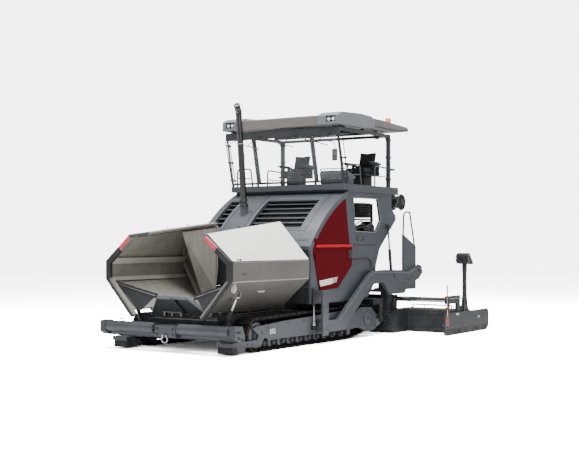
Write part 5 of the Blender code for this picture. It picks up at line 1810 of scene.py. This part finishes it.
# %% Tread plate
def tread_recipe():
    made = Recipe("tread", wide=float, deep=float, across=int, along=int)
    sizes = {"Size X": made.given("wide"), "Size Y": made.given("deep")}
    counts = {"Vertices X": made.given("across"), "Vertices Y": made.given("along")}
    grid = made.add("GeometryNodeMeshGrid", {**sizes, **counts})
    index = made.add("GeometryNodeInputIndex", {})
    odd = made.add("ShaderNodeMath", {0: index, 1: 2.0}, operation="MODULO")
    angle = made.add(
        "ShaderNodeMath", {0: odd, 1: math.pi / 2, 2: -math.pi / 4}, operation="MULTIPLY_ADD",
    )
    turn = made.add("ShaderNodeCombineXYZ", {"Z": angle})
    bead = made.add(
        "GeometryNodeMeshCone",
        {"Vertices": 6, "Radius Top": 0.003, "Radius Bottom": 0.012, "Depth": 0.003},
    )
    bead = made.add("GeometryNodeTransform", {"Geometry": bead, "Scale": (1.0, 0.34, 1.0)})
    placed = made.add(
        "GeometryNodeInstanceOnPoints", {"Points": grid, "Instance": bead, "Rotation": turn},
    )
    return made, placed


def tread_plate(name, x, y, z, wide, deep, body, look="dark_steel", pitch=0.042):
    made, placed = tread_recipe()
    place = made.add("GeometryNodeTransform", {"Geometry": placed, "Translation": (x, y + FRONT, z)})
    made.close(place)
    across, along = int(wide / pitch) // 2 * 2 + 1, int(deep / pitch)
    return made.make(
        name, bpy.data.meshes.new("start"), look, body, wide=wide, deep=deep, across=across, along=along,
    )


tread_plate("deck_tread", 0.0, 4.32, 2.591, 2.20, 1.66, "tractor")
tread_plate("screed_walkway_tread", 0.0, 5.30, 0.772, 1.30, 0.18, "screed", "steel")
for side, s in SIDES.items():
    tread_plate(f"step_tread_low_{side}", 0.95 * s, 5.49, 0.812, 0.44, 0.22, "screed", "steel")
    tread_plate(f"step_tread_high_{side}", 0.95 * s, 5.55, 1.132, 0.44, 0.20, "screed", "steel")
print("tread plate laid")

# %% [markdown]
# ## Operator's console
# The desk has a sloping panel with a screen, rows of buttons and three levers. Nothing on it is
# lettered.

# %% Console
def console_face(share, proud=0.0):
    """A place on the sloping panel; share runs from its front top to its rear edge."""
    a, b = Vector((0, 3.54, 2.906)), Vector((0, 3.84, 2.796))
    normal = Vector((0, b.y - a.y, b.z - a.z)).cross(Vector((1, 0, 0))).normalized()
    if normal.z < 0:
        normal = -normal
    place = a.lerp(b, share) + normal * proud
    return place, normal


def on_console(x, share, proud=0.0):
    place, _ = console_face(share, proud)
    return Vector((x, place.y, place.z))


desk = bmesh.new()
corners = [on_console(x, share) for x, share in ((0.76, 0.15), (0.97, 0.15), (0.97, 0.62), (0.76, 0.62))]
raised = [
    on_console(x, share, 0.012)
    for x, share in ((0.765, 0.17), (0.965, 0.17), (0.965, 0.60), (0.765, 0.60))
]
add_loft(desk, [tuple(p) for p in corners], [tuple(p) for p in raised])
add_tube(
    desk,
    rounded_path(
        [(0.585, 3.520, 2.90), (0.585, 3.49, 2.935), (1.095, 3.49, 2.935), (1.095, 3.520, 2.90)], 0.03,
    ),
    0.010, 8,
)
finish("console_bezel", desk, "plastic", "console", 0.003)
screen = bmesh.new()
low = [
    on_console(x, share, 0.0115)
    for x, share in ((0.785, 0.22), (0.945, 0.22), (0.945, 0.55), (0.785, 0.55))
]
high = [
    on_console(x, share, 0.0135)
    for x, share in ((0.785, 0.22), (0.945, 0.22), (0.945, 0.55), (0.785, 0.55))
]
add_loft(screen, [tuple(p) for p in low], [tuple(p) for p in high])
finish("console_screen", screen, "screen", "console", 0)
_, panel_way = console_face(0)
buttons = [
    (on_console(x, share), tuple(panel_way))
    for x in (0.60, 0.635, 0.67, 0.705, 1.00, 1.035, 1.07)
    for share in (0.15, 0.30, 0.45, 0.60)
]
bolts("console_buttons", buttons[::2], "console", radius=0.009, height=0.008, look="white")
bolts("console_keys", buttons[1::2], "console", radius=0.009, height=0.008, look="sensor_red")
levers = bmesh.new()
for x in (0.66, 0.86, 1.04):
    foot_at = on_console(x, 0.80)
    add_tube(levers, [foot_at, foot_at + Vector((0, 0.012, 0.075))], 0.006, 8)
    add_turned(
        levers, foot_at + Vector((0, 0.012, 0.070)), foot_at + Vector((0, 0.018, 0.115)),
        [(0, 0.010), (0.3, 0.017), (0.8, 0.017), (1, 0.008)], 14,
    )
finish("console_levers", levers, "plastic", "console", 0)
pod = bmesh.new()
add_prism(pod, "X", [(3.575, 2.60), (3.66, 2.60), (3.70, 2.72), (3.53, 2.74)], 0.60, 0.64)
add_prism(pod, "X", [(3.575, 2.60), (3.66, 2.60), (3.70, 2.72), (3.53, 2.74)], 1.04, 1.08)
finish("console_feet", pod, "trim", "console", 0.004)
track_bar = bmesh.new()
add_box(track_bar, (-1.10, 1.10), (3.588, 3.600), (2.590, 2.5945))
add_box(track_bar, (-1.10, 1.10), (3.715, 3.727), (2.590, 2.5945))
finish("console_rails", track_bar, "steel", "tractor", 0)
print("console fitted")

# %% [markdown]
# ## Seats
# A seat pad is foam under vinyl, so its faces bulge and its edges stay soft. Each pad starts as a block,
# is remeshed evenly and inflated by the cloth solver for a few frames, as a pillow would be. A cord of
# piping finishes it. The right seat repeats the left one's pads.

# %% Seat pads
def pad_block(name, outline, x0, x1):
    shape = bmesh.new()
    add_prism(shape, "X", outline, x0, x1)
    bmesh.ops.translate(shape, vec=(0, FRONT, 0), verts=shape.verts)
    mesh = bpy.data.meshes.new(name)
    shape.to_mesh(mesh)
    shape.free()
    block = bpy.data.objects.new(name, mesh)
    bpy.context.scene.collection.objects.link(block)
    return block


def settle(block, frames=20, pressure=4.0, most=0.018):
    """Runs the cloth solver on the block and keeps the inflated form, each point moved at most by most."""
    scene = bpy.context.scene
    soft = block.modifiers.new("soft", "BEVEL")
    soft.width, soft.segments = 0.022, 3
    even = block.modifiers.new("even", "REMESH")
    even.mode, even.voxel_size = "VOXEL", 0.006
    graph = bpy.context.evaluated_depsgraph_get()
    start = bpy.data.meshes.new_from_object(block.evaluated_get(graph))
    block.modifiers.clear()
    block.data = start
    rest = [v.co.copy() for v in start.vertices]
    cloth = block.modifiers.new("cloth", "CLOTH")
    cloth.settings.use_pressure = True
    cloth.settings.uniform_pressure_force = pressure
    cloth.settings.effector_weights.gravity = 0
    for frame_number in range(1, frames + 1):
        scene.frame_set(frame_number)
    graph = bpy.context.evaluated_depsgraph_get()
    done = bpy.data.meshes.new_from_object(block.evaluated_get(graph))
    block.modifiers.clear()
    block.data = done
    for vertex, home in zip(done.vertices, rest):
        step = vertex.co - home
        if step.length > most:
            vertex.co = home + step.normalized() * most
    scene.frame_set(1)
    mesh = block.data
    bpy.data.objects.remove(block)
    return mesh


SEAT = 0.72
PADS = {
    "seat_pad": ([(4.462, 2.912), (4.850, 2.912), (4.850, 2.985), (4.480, 2.995)], 0.212),
    "back_pad": ([(4.795, 2.960), (4.865, 2.950), (4.912, 3.065), (4.845, 3.075)], 0.225),
    "head_pad": ([(4.850, 3.045), (4.920, 3.040), (4.990, 3.300), (4.925, 3.310)], 0.170),
}
for pad, (outline, half) in PADS.items():
    shared = settle(pad_block(pad, outline, SEAT - half, SEAT + half), most=0.014)
    for side, s in SIDES.items():
        mesh = shared if s > 0 else shared.copy()
        if s < 0:
            mesh.transform(Matrix.Translation((-2 * SEAT, 0, 0)))
        piece = finish_mesh(f"{pad}_{side}", mesh, "vinyl", f"seat_{side}", 0)
        plump = piece.modifiers.new("smooth", "SUBSURF")
        plump.levels = plump.render_levels = 1
        if pad == "seat_pad":
            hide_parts(f"seat_cushion_{side}")
    print(pad, len(shared.vertices))


print("pads made")

# %% [markdown]
# ## Seat trim and shell
# Piping follows the pads' seams. A plastic shell backs each seat, and padded arms stand on steel
# brackets.

# %% Seat trim and shell
def seat_trim(shape, s):
    x = SEAT * s
    for half, y0, y1, z in ((0.216, 4.470, 4.845, 2.950),):
        add_tube(
            shape,
            rounded_path(
                [
                    (x - half, y0, z), (x + half, y0, z), (x + half, y1, z), (x - half, y1, z),
                    (x - half, y0, z),
                ],
                0.03,
            ),
            0.005, 8,
        )


def seat_hardware(shape, s):
    x = SEAT * s
    for dx in (-0.06, 0.06):
        add_bar(shape, (x + dx, 4.928, 3.08), (x + dx, 4.945, 3.18), 0.007, 8)
    for dx in (-0.27, 0.27):
        add_bar(shape, (x + dx, 4.865, 3.07), (x + dx * 0.84, 4.865, 3.07), 0.022, 12)


def back_shell(shape, s):
    add_prism(
        shape, "X", [(4.868, 2.94), (4.892, 2.935), (4.985, 3.12), (4.958, 3.14)], (SEAT - 0.19) * s,
        (SEAT + 0.19) * s,
    )
    add_prism(
        shape, "X", [(4.472, 2.903), (4.872, 2.903), (4.872, 2.915), (4.472, 2.915)], (SEAT - 0.20) * s,
        (SEAT + 0.20) * s,
    )


def arm_pads(shape, s):
    for dx in (-0.262, 0.262):
        add_box(shape, (SEAT * s + dx - 0.028, SEAT * s + dx + 0.028), (4.50, 4.86), (3.090, 3.115))


fit_pairs("seat_{side}", {
    "seat_piping": ("plastic", seat_trim, 0),
    "seat_hardware": ("steel", seat_hardware, 0),
    "seat_shell": ("plastic", back_shell, 0.006),
    "arm_pads": ("vinyl", arm_pads, 0.010),
})
print("seats made")

# %% [markdown]
# ## Hose reel
# The spray hose is wound on a drum between two black discs. The windings are one ring repeated along
# the drum, and the outer disc carries a crank.

# %% Hose reel
REEL = Vector((0, 5.40, 2.40))


def winding_recipe():
    made = Recipe("winding", turns=int, pitch=float, radius=float, thick=float)
    step = made.add("ShaderNodeCombineXYZ", {"X": made.given("pitch")})
    line = made.add("GeometryNodeMeshLine", {"Count": made.given("turns"), "Offset": step})
    loop = made.add(
        "GeometryNodeCurvePrimitiveCircle", {"Resolution": 36, "Radius": made.given("radius")},
    )
    section = made.add(
        "GeometryNodeCurvePrimitiveCircle", {"Resolution": 8, "Radius": made.given("thick")},
    )
    tube = made.add("GeometryNodeCurveToMesh", {"Curve": loop, "Profile Curve": section})
    tube = made.add("GeometryNodeTransform", {"Geometry": tube, "Rotation": Euler((0, math.pi / 2, 0))})
    placed = made.add("GeometryNodeInstanceOnPoints", {"Points": line, "Instance": tube})
    return made, placed


for layer, radius in enumerate((0.078, 0.100)):
    made, placed = winding_recipe()
    shift = made.add(
        "GeometryNodeTransform",
        {"Geometry": placed, "Translation": (1.020 + 0.006 * layer, REEL.y + FRONT, REEL.z)},
    )
    made.close(shift)
    made.make(
        f"hose_winding_{layer + 1}", bpy.data.meshes.new("start"), "hose", "hose_reel", turns=7,
        pitch=0.0205, radius=radius, thick=0.0115,
    )
wheel = bmesh.new()
for i in range(8):
    a = math.tau * i / 8
    inner, outer = 0.045, 0.140
    points = [(1.1775, REEL.y + r * math.cos(a), REEL.z + r * math.sin(a)) for r in (inner, outer)]
    add_tube(wheel, points, 0.007, 6)
rim = [
    (1.1745, REEL.y + 0.143 * math.cos(a), REEL.z + 0.143 * math.sin(a))
    for a in (math.tau * i / 40 for i in range(41))
]
add_tube(wheel, rim, 0.008, 8)
add_turned(
    wheel, (1.165, REEL.y, REEL.z), (1.196, REEL.y, REEL.z), [(0, 0.048), (0.6, 0.048), (1, 0.030)], 24,
)
finish("reel_spokes", wheel, "plastic", "hose_reel", 0)
crank = bmesh.new()
add_tube(crank, [(1.189, 5.40, 2.40), (1.189, 5.495, 2.35)], 0.005, 8)
add_bar(crank, (1.180, 5.495, 2.35), (1.196, 5.495, 2.35), 0.014, 12)
finish("reel_crank", crank, "steel", "hose_reel", 0)
print("reel wound")

# %% [markdown]
# ## Lifting cylinders and tow arms
# The black barrels lift the screed by rods that are painted black too. Their ends are eyes on pins, and
# the tow arms are pinned to the tractor with a large cap.

# %% Cylinders and arms
LIFT_TOP, LIFT_EYE = Vector((1.213, 4.80, 1.95)), Vector((1.213, 4.93, 1.07))
LIFT_WAY = (LIFT_EYE - LIFT_TOP).normalized()


def flipped(p, s):
    return (p.x * s, p.y, p.z)


def barrel_rings(shape, s):
    top = LIFT_EYE - LIFT_WAY * 0.455
    side = Vector(OUT)
    across = LIFT_WAY.cross(side).normalized()
    for along in (0.014, 0.030, 0.385):
        circle_path = [
            top + LIFT_WAY * along + (side * math.cos(a) + across * math.sin(a)) * 0.0285
            for a in (math.tau * i / 20 for i in range(21))
        ]
        add_tube(shape, [flipped(point, s) for point in circle_path], 0.0045, 6)


def lift_brackets(shape, s):
    add_prism(
        shape, "X", [(4.72, 2.00), (4.88, 2.00), (4.86, 1.93), (4.80, 1.90), (4.74, 1.93)], 1.180 * s,
        1.187 * s,
    )


def arm_caps(shape, s):
    add_turned(
        shape, (1.292 * s, 2.48, 0.29), (1.2995 * s, 2.48, 0.29), [(0, 0.060), (0.7, 0.060), (1, 0.050)],
        24,
    )
    add_turned(
        shape, (1.295 * s, 4.93, 1.07), (1.312 * s, 4.93, 1.07), [(0, 0.038), (0.7, 0.038), (1, 0.030)],
        20,
    )
    add_turned(
        shape, (1.295 * s, 5.92, 1.14), (1.318 * s, 5.92, 1.14), [(0, 0.050), (0.7, 0.050), (1, 0.038)],
        20,
    )
    add_prism(
        shape, "X",
        [(4.14, 1.00), (4.50, 1.00), (4.70, 0.86), (4.64, 0.80), (4.46, 0.945), (4.10, 0.935)], 1.295 * s,
        1.301 * s,
    )


def arm_welds(shape, s):
    path = [
        (1.2955 * s, y, z)
        for y, z in (
            (2.98, 0.355), (3.98, 1.065), (4.16, 1.125), (4.90, 1.11), (5.50, 1.085), (5.78, 1.16),
        )
    ]
    add_tube(shape, path, 0.005, 6)


mirrored("lift_barrel_rings", "dark_steel", "lift_cylinder_{side}", barrel_rings, 0)
mirrored("lift_brackets", "body", "tractor", lift_brackets, 0.002)
mirrored("arm_caps", "body", "screed", arm_caps, 0.003)
mirrored("arm_edges", "pale_body", "screed", arm_welds, 0)
rear_eye = ring((1.318, 5.92, 1.14), 0.024, 3, OUT)
arm_places = [
    ((1.295, y, z), OUT)
    for y, z in ((5.10, 0.80), (5.24, 0.80), (5.10, 0.92), (5.24, 0.92), (5.44, 0.98), (5.60, 1.02))
]
mirrored_bolts("arm_bolts", arm_places, "screed", radius=0.013, height=0.010, look="body")
mirrored_bolts("arm_eye_bolts", rear_eye, "screed", radius=0.008, height=0.006)


def step_trim(shape, s):
    for y, z in ((5.40, 1.76), (5.82, 1.56), (5.40, 0.85), (5.82, 0.85)):
        add_bar(shape, (1.235 * s, y, z), (1.2385 * s, y, z), 0.014, 12)
    add_tube(shape, [(1.2355 * s, 5.38, 1.10), (1.2355 * s, 5.84, 1.10)], 0.004, 6)


mirrored("step_panel_trim", "frame", "screed", step_trim, 0)
print("arms fitted")

# %% [markdown]
# ## Screed
# The screed's main body has bolted wear plates, burner boxes, knurled knobs and a bundle of hoses. Each
# extension slides on a bright guide tube.

# %% Screed body
def guide_chrome(shape, s):
    y = 5.12 if s > 0 else 5.28
    add_bar(shape, (0.56 * s, y, 0.625), (2.222 * s, y, 0.625), 0.0458, 28)


def guide_ends(shape, s):
    y = 5.12 if s > 0 else 5.28
    add_turned(
        shape, (2.27 * s, y, 0.625), (2.2765 * s, y, 0.625), [(0, 0.052), (0.7, 0.052), (1, 0.044)], 24,
    )


mirrored("guide_chrome", "chrome", "screed_extension_{side}", guide_chrome, 0)
mirrored("guide_ends", "screed", "screed_extension_{side}", guide_ends, 0)


def front_plates(shape, s):
    add_box(shape, (0.06 * s, 0.96 * s), (4.940, 4.952), (0.385, 0.50))
    add_box(shape, (1.05 * s, 1.235 * s), (4.89, 4.905), (0.10, 0.34))
    add_box(shape, (0.10 * s, 0.50 * s), (4.96, 5.06), (0.42, 0.50))
    add_box(shape, (0.10 * s, 0.50 * s), (5.36, 5.45), (0.42, 0.52))


def gearboxes(shape, s):
    add_box(shape, (1.150 * s, 1.210 * s), (5.00, 5.16), (0.44, 0.555))
    add_turned(
        shape, (1.180 * s, 5.08, 0.47), (1.180 * s, 5.08, 0.36), [(0, 0.03), (0.4, 0.03), (1, 0.02)], 16,
    )
    add_turned(
        shape, (0.90 * s, 5.43, 0.42), (0.90 * s, 5.43, 0.50), [(0, 0.05), (0.6, 0.05), (1, 0.03)], 20,
    )


def knobs(shape, s):
    for x, y in ((1.10, 4.93), (0.85, 5.43), (0.35, 5.43)):
        add_turned(
            shape, (x * s, y, 0.42), (x * s, y, 0.475),
            [(0, 0.010), (0.3, 0.010), (0.32, 0.024), (0.9, 0.024), (1, 0.018)], 12,
        )


fit_pairs("screed", {
    "screed_plates": ("screed", front_plates, 0.003),
    "screed_gearboxes": ("dark_steel", gearboxes, 0.003),
    "screed_knobs": ("steel", knobs, 0),
})
plate_bolts = row((0.12, 4.940, 0.45), (0.90, 4.940, 0.45), 7, FORE)
for x in (1.08, 1.21):
    plate_bolts += row((x, 4.890, 0.30), (x, 4.890, 0.14), 3, FORE)
mirrored_bolts("screed_bolts", plate_bolts, "screed", radius=0.010, height=0.007, look="bolt")


def hoses(shape, s):
    for shift in (0.0, 0.028, 0.056):
        path = [
            (0.62 * s, 5.00, 0.47 + shift), (0.82 * s, 4.985, 0.50 + shift),
            (0.98 * s, 5.005, 0.60 + shift), (1.10 * s, 5.02, 0.71 + shift * 0.4),
        ]
        add_tube(shape, smooth_path(path, 7), 0.011, 8)


def hose_marks(shape, s):
    for shift, x in ((0.0, 0.82), (0.028, 0.84), (0.056, 0.80)):
        add_bar(
            shape, ((x - 0.012) * s, 4.985, 0.50 + shift), ((x + 0.012) * s, 4.987, 0.50 + shift), 0.0135,
            10,
        )


mirrored("screed_hoses", "hose", "screed", hoses, 0)
mirrored("hose_marks", "green", "screed", hose_marks, 0)
print("screed body fitted")

# %% [markdown]
# ## Extensions and end gates
# The end gate slides up and down on a bright spindle. It is held by bronze clamps and turned by a small
# cross handle, and two red sensor boxes look forward over the road. The crew's control box stands on a
# tapered post.

# %% Extension fittings
def step_line(shape, s):
    add_box(shape, (2.267 * s, 2.2765 * s), (5.50, 6.00), (0.10, 0.16))
    add_box(shape, (1.30 * s, 2.26 * s), (5.468, 5.481), (0.34, 0.42))
    add_box(shape, (1.30 * s, 2.26 * s), (5.470, 5.482), (0.03, 0.09))
    add_prism(
        shape, "X", [(5.50, 0.42), (5.98, 0.42), (5.98, 0.46), (5.84, 0.56), (5.60, 0.47)], 2.235 * s,
        2.262 * s,
    )


def gate_ribs(shape, s):
    add_box(shape, (2.258 * s, 2.277 * s), (6.04, 6.72), (0.33, 0.36))
    add_box(shape, (2.258 * s, 2.277 * s), (6.04, 6.72), (0.05, 0.08))
    add_box(shape, (2.258 * s, 2.277 * s), (4.93, 5.44), (0.34, 0.37))


def gate_edge(shape, s):
    add_prism(
        shape, "X",
        [(4.902, 0.022), (5.0, 0.002), (6.68, 0.002), (6.79, 0.075), (6.79, 0.10), (4.902, 0.10)],
        2.3035 * s, 2.3095 * s,
    )


def spindle(shape, s):
    add_bar(shape, (2.3155 * s, 4.965, 0.34), (2.3155 * s, 4.965, 0.88), 0.0125, 16)
    for ends in ((4.930, 5.000), (5.000, 4.930)):
        add_tube(shape, [(2.307 * s, ends[0], 0.885), (2.324 * s, ends[1], 0.885)], 0.004, 8)
    add_bar(shape, (2.3155 * s, 4.965, 0.86), (2.3155 * s, 4.965, 0.90), 0.0125, 12)


def clamps(shape, s):
    for z in (0.46, 0.66):
        add_box(shape, (2.2785 * s, 2.329 * s), (4.932, 4.998), (z, z + 0.045))


def sensors(shape, s):
    for y in (4.925, 4.985):
        add_box(shape, (2.262 * s, 2.309 * s), (y, y + 0.048), (0.20, 0.335))


def sensor_plate(shape, s):
    add_box(shape, (2.255 * s, 2.309 * s), (4.905, 5.055), (0.180, 0.198))
    add_box(shape, (2.262 * s, 2.300 * s), (4.935, 4.995), (0.336, 0.362))


def gate_post(shape, s):
    add_box(shape, (2.279 * s, 2.303 * s), (5.06, 5.10), (0.40, 0.70))
    add_box(shape, (2.279 * s, 2.303 * s), (5.70, 5.74), (0.40, 0.66))


def gate_rod(shape, s):
    add_tube(shape, [(2.291 * s, 5.13, 0.652), (2.291 * s, 5.72, 0.645)], 0.009, 8)


def gate_coupling(shape, s):
    add_bar(shape, (2.291 * s, 5.10, 0.652), (2.291 * s, 5.145, 0.652), 0.016, 12)


def blank_labels(shape, s):
    for y, z, long in ((5.36, 0.345, 0.11), (6.30, 0.25, 0.07)):
        add_box(shape, (2.3045 * s, 2.3065 * s), (y, y + long), (z, z + 0.035))


mirrored("extension_strips", "screed", "screed_extension_{side}", step_line, 0.003)
fit_pairs("end_gate_{side}", {
    "gate_ribs": ("screed", gate_ribs, 0.002),
    "gate_wear_edge": ("dark_steel", gate_edge, 0.001),
    "gate_spindle": ("chrome", spindle, 0),
    "gate_clamps": ("bronze", clamps, 0.003),
    "gate_sensors": ("sensor_red", sensors, 0.006),
    "gate_sensor_plate": ("steel", sensor_plate, 0.002),
    "gate_posts": ("black_paint", gate_post, 0.003),
    "gate_rod": ("steel", gate_rod, 0),
    "gate_coupling": ("green", gate_coupling, 0),
    "blank_labels": ("white", blank_labels, 0),
})
gate_places = [
    ((2.305, y, z), OUT)
    for y, z in ((5.55, 0.20), (5.66, 0.20), (6.15, 0.30), (6.55, 0.30), (5.08, 0.36), (6.68, 0.14))
]
mirrored_bolts(
    "gate_bolts", gate_places, "end_gate_{side}", radius=0.010, height=0.0045, look="dark_steel",
)


print("end gates fitted")

# %% [markdown]
# ## Control box
# The crew's control box looks forward from its post. It has a screen, a block of keys and a grip on
# each side.

# %% Control box
def control_face(shape, s):
    """The plate on the box's front with the frame of its screen."""
    add_box(shape, (2.085 * s, 2.275 * s), (5.876, 5.881), (1.285, 1.415))
    add_box(shape, (2.10 * s, 2.26 * s), (5.868, 5.877), (1.300, 1.400))


def control_screen(shape, s):
    add_box(shape, (2.115 * s, 2.19 * s), (5.8655, 5.8685), (1.320, 1.385))


def control_grips(shape, s):
    for x in (2.055, 2.305):
        add_tube(
            shape,
            rounded_path(
                [(x * s, 5.90, 1.29), (x * s, 5.872, 1.32), (x * s, 5.872, 1.40), (x * s, 5.90, 1.43)],
                0.02,
            ),
            0.0065, 8,
        )


def post_taper(shape, s):
    add_turned(
        shape, (2.18 * s, 5.98, 0.42), (2.18 * s, 5.98, 0.72), [(0, 0.075), (0.15, 0.070), (1, 0.045)], 4,
    )
    add_box(shape, (2.145 * s, 2.215 * s), (5.945, 6.015), (1.10, 1.25))


fit_pairs("screed_extension_{side}", {
    "control_face": ("plastic", control_face, 0.002),
    "control_screen": ("screen", control_screen, 0),
    "control_grips": ("steel", control_grips, 0),
    "control_post_foot": ("screed", post_taper, 0.003),
})
control_keys = [((x, 5.8765, z), FORE) for x in (2.205, 2.225, 2.245) for z in (1.32, 1.35, 1.38)]
mirrored_bolts(
    "control_keys", control_keys, "screed_extension_{side}", radius=0.006, height=0.005, look="white",
)


print("control boxes fitted")

# %% [markdown]
# ## Extension top
# Two gas pipes run over each extension, and a plate is bolted to its back.

# %% Extension top
def burner_pipes(shape, s):
    add_tube(
        shape,
        rounded_path(
            [
                (1.30 * s, 5.60, 0.435), (1.30 * s, 5.60, 0.50), (2.10 * s, 5.60, 0.50),
                (2.10 * s, 5.60, 0.435),
            ],
            0.04,
        ),
        0.013, 8,
    )
    add_tube(
        shape,
        rounded_path(
            [
                (1.40 * s, 5.90, 0.432), (1.40 * s, 5.90, 0.475), (2.00 * s, 5.90, 0.475),
                (2.00 * s, 5.90, 0.432),
            ],
            0.03,
        ),
        0.010, 8,
    )


def extension_step(shape, s):
    add_box(shape, (1.10 * s, 2.20 * s), (6.018, 6.03), (0.05, 0.36))


mirrored("burner_pipes", "dark_steel", "screed_extension_{side}", burner_pipes, 0)
mirrored("extension_back_plate", "screed", "screed_extension_{side}", extension_step, 0.004)
extension_bolts = []
for z in (0.30, 0.12):
    extension_bolts += row((1.25, 6.03, z), (2.05, 6.03, z), 6, (0, 1, 0))
mirrored_bolts(
    "extension_bolts", extension_bolts, "screed_extension_{side}", radius=0.011, height=0.008,
    look="bolt",
)
print("extensions fitted")

# %% [markdown]
# ## Conveyor bars
# The bars of the slat conveyor run on two chains at the bottom of the hopper. Each bar has a knob at
# both ends where the chain holds it. One bar is repeated along the slab by Geometry Nodes.

# %% Conveyor bars
def bars_recipe():
    made = Recipe("bars", count=int, pitch=float, width=float)
    step = made.add("ShaderNodeCombineXYZ", {"Y": made.given("pitch")})
    line = made.add("GeometryNodeMeshLine", {"Count": made.given("count"), "Offset": step})
    size = made.add("ShaderNodeCombineXYZ", {"X": made.given("width"), "Y": 0.030, "Z": 0.014})
    bar = made.add("GeometryNodeMeshCube", {"Size": size})
    knob_size = made.add("ShaderNodeCombineXYZ", {"X": 0.030, "Y": 0.075, "Z": 0.020})
    knob = made.add("GeometryNodeMeshCube", {"Size": knob_size})
    parts = [bar]
    for share in (-0.46, 0.46):
        place_x = made.add("ShaderNodeMath", {0: made.given("width"), 1: share}, operation="MULTIPLY")
        place = made.add("ShaderNodeCombineXYZ", {"X": place_x})
        parts.append(made.add("GeometryNodeTransform", {"Geometry": knob, "Translation": place}))
    link = made.add("GeometryNodeJoinGeometry", {0: parts})
    placed = made.add("GeometryNodeInstanceOnPoints", {"Points": line, "Instance": link})
    return made, placed


for side, s in SIDES.items():
    made, placed = bars_recipe()
    shift = made.add(
        "GeometryNodeTransform", {"Geometry": placed, "Translation": (0.295 * s, 0.62 + FRONT, 0.384)},
    )
    made.close(shift)
    made.make(
        f"conveyor_bars_{side}", bpy.data.meshes.new("start"), "steel", "tractor", 0.002, count=26,
        pitch=0.14, width=0.54,
    )


print("conveyor fitted")
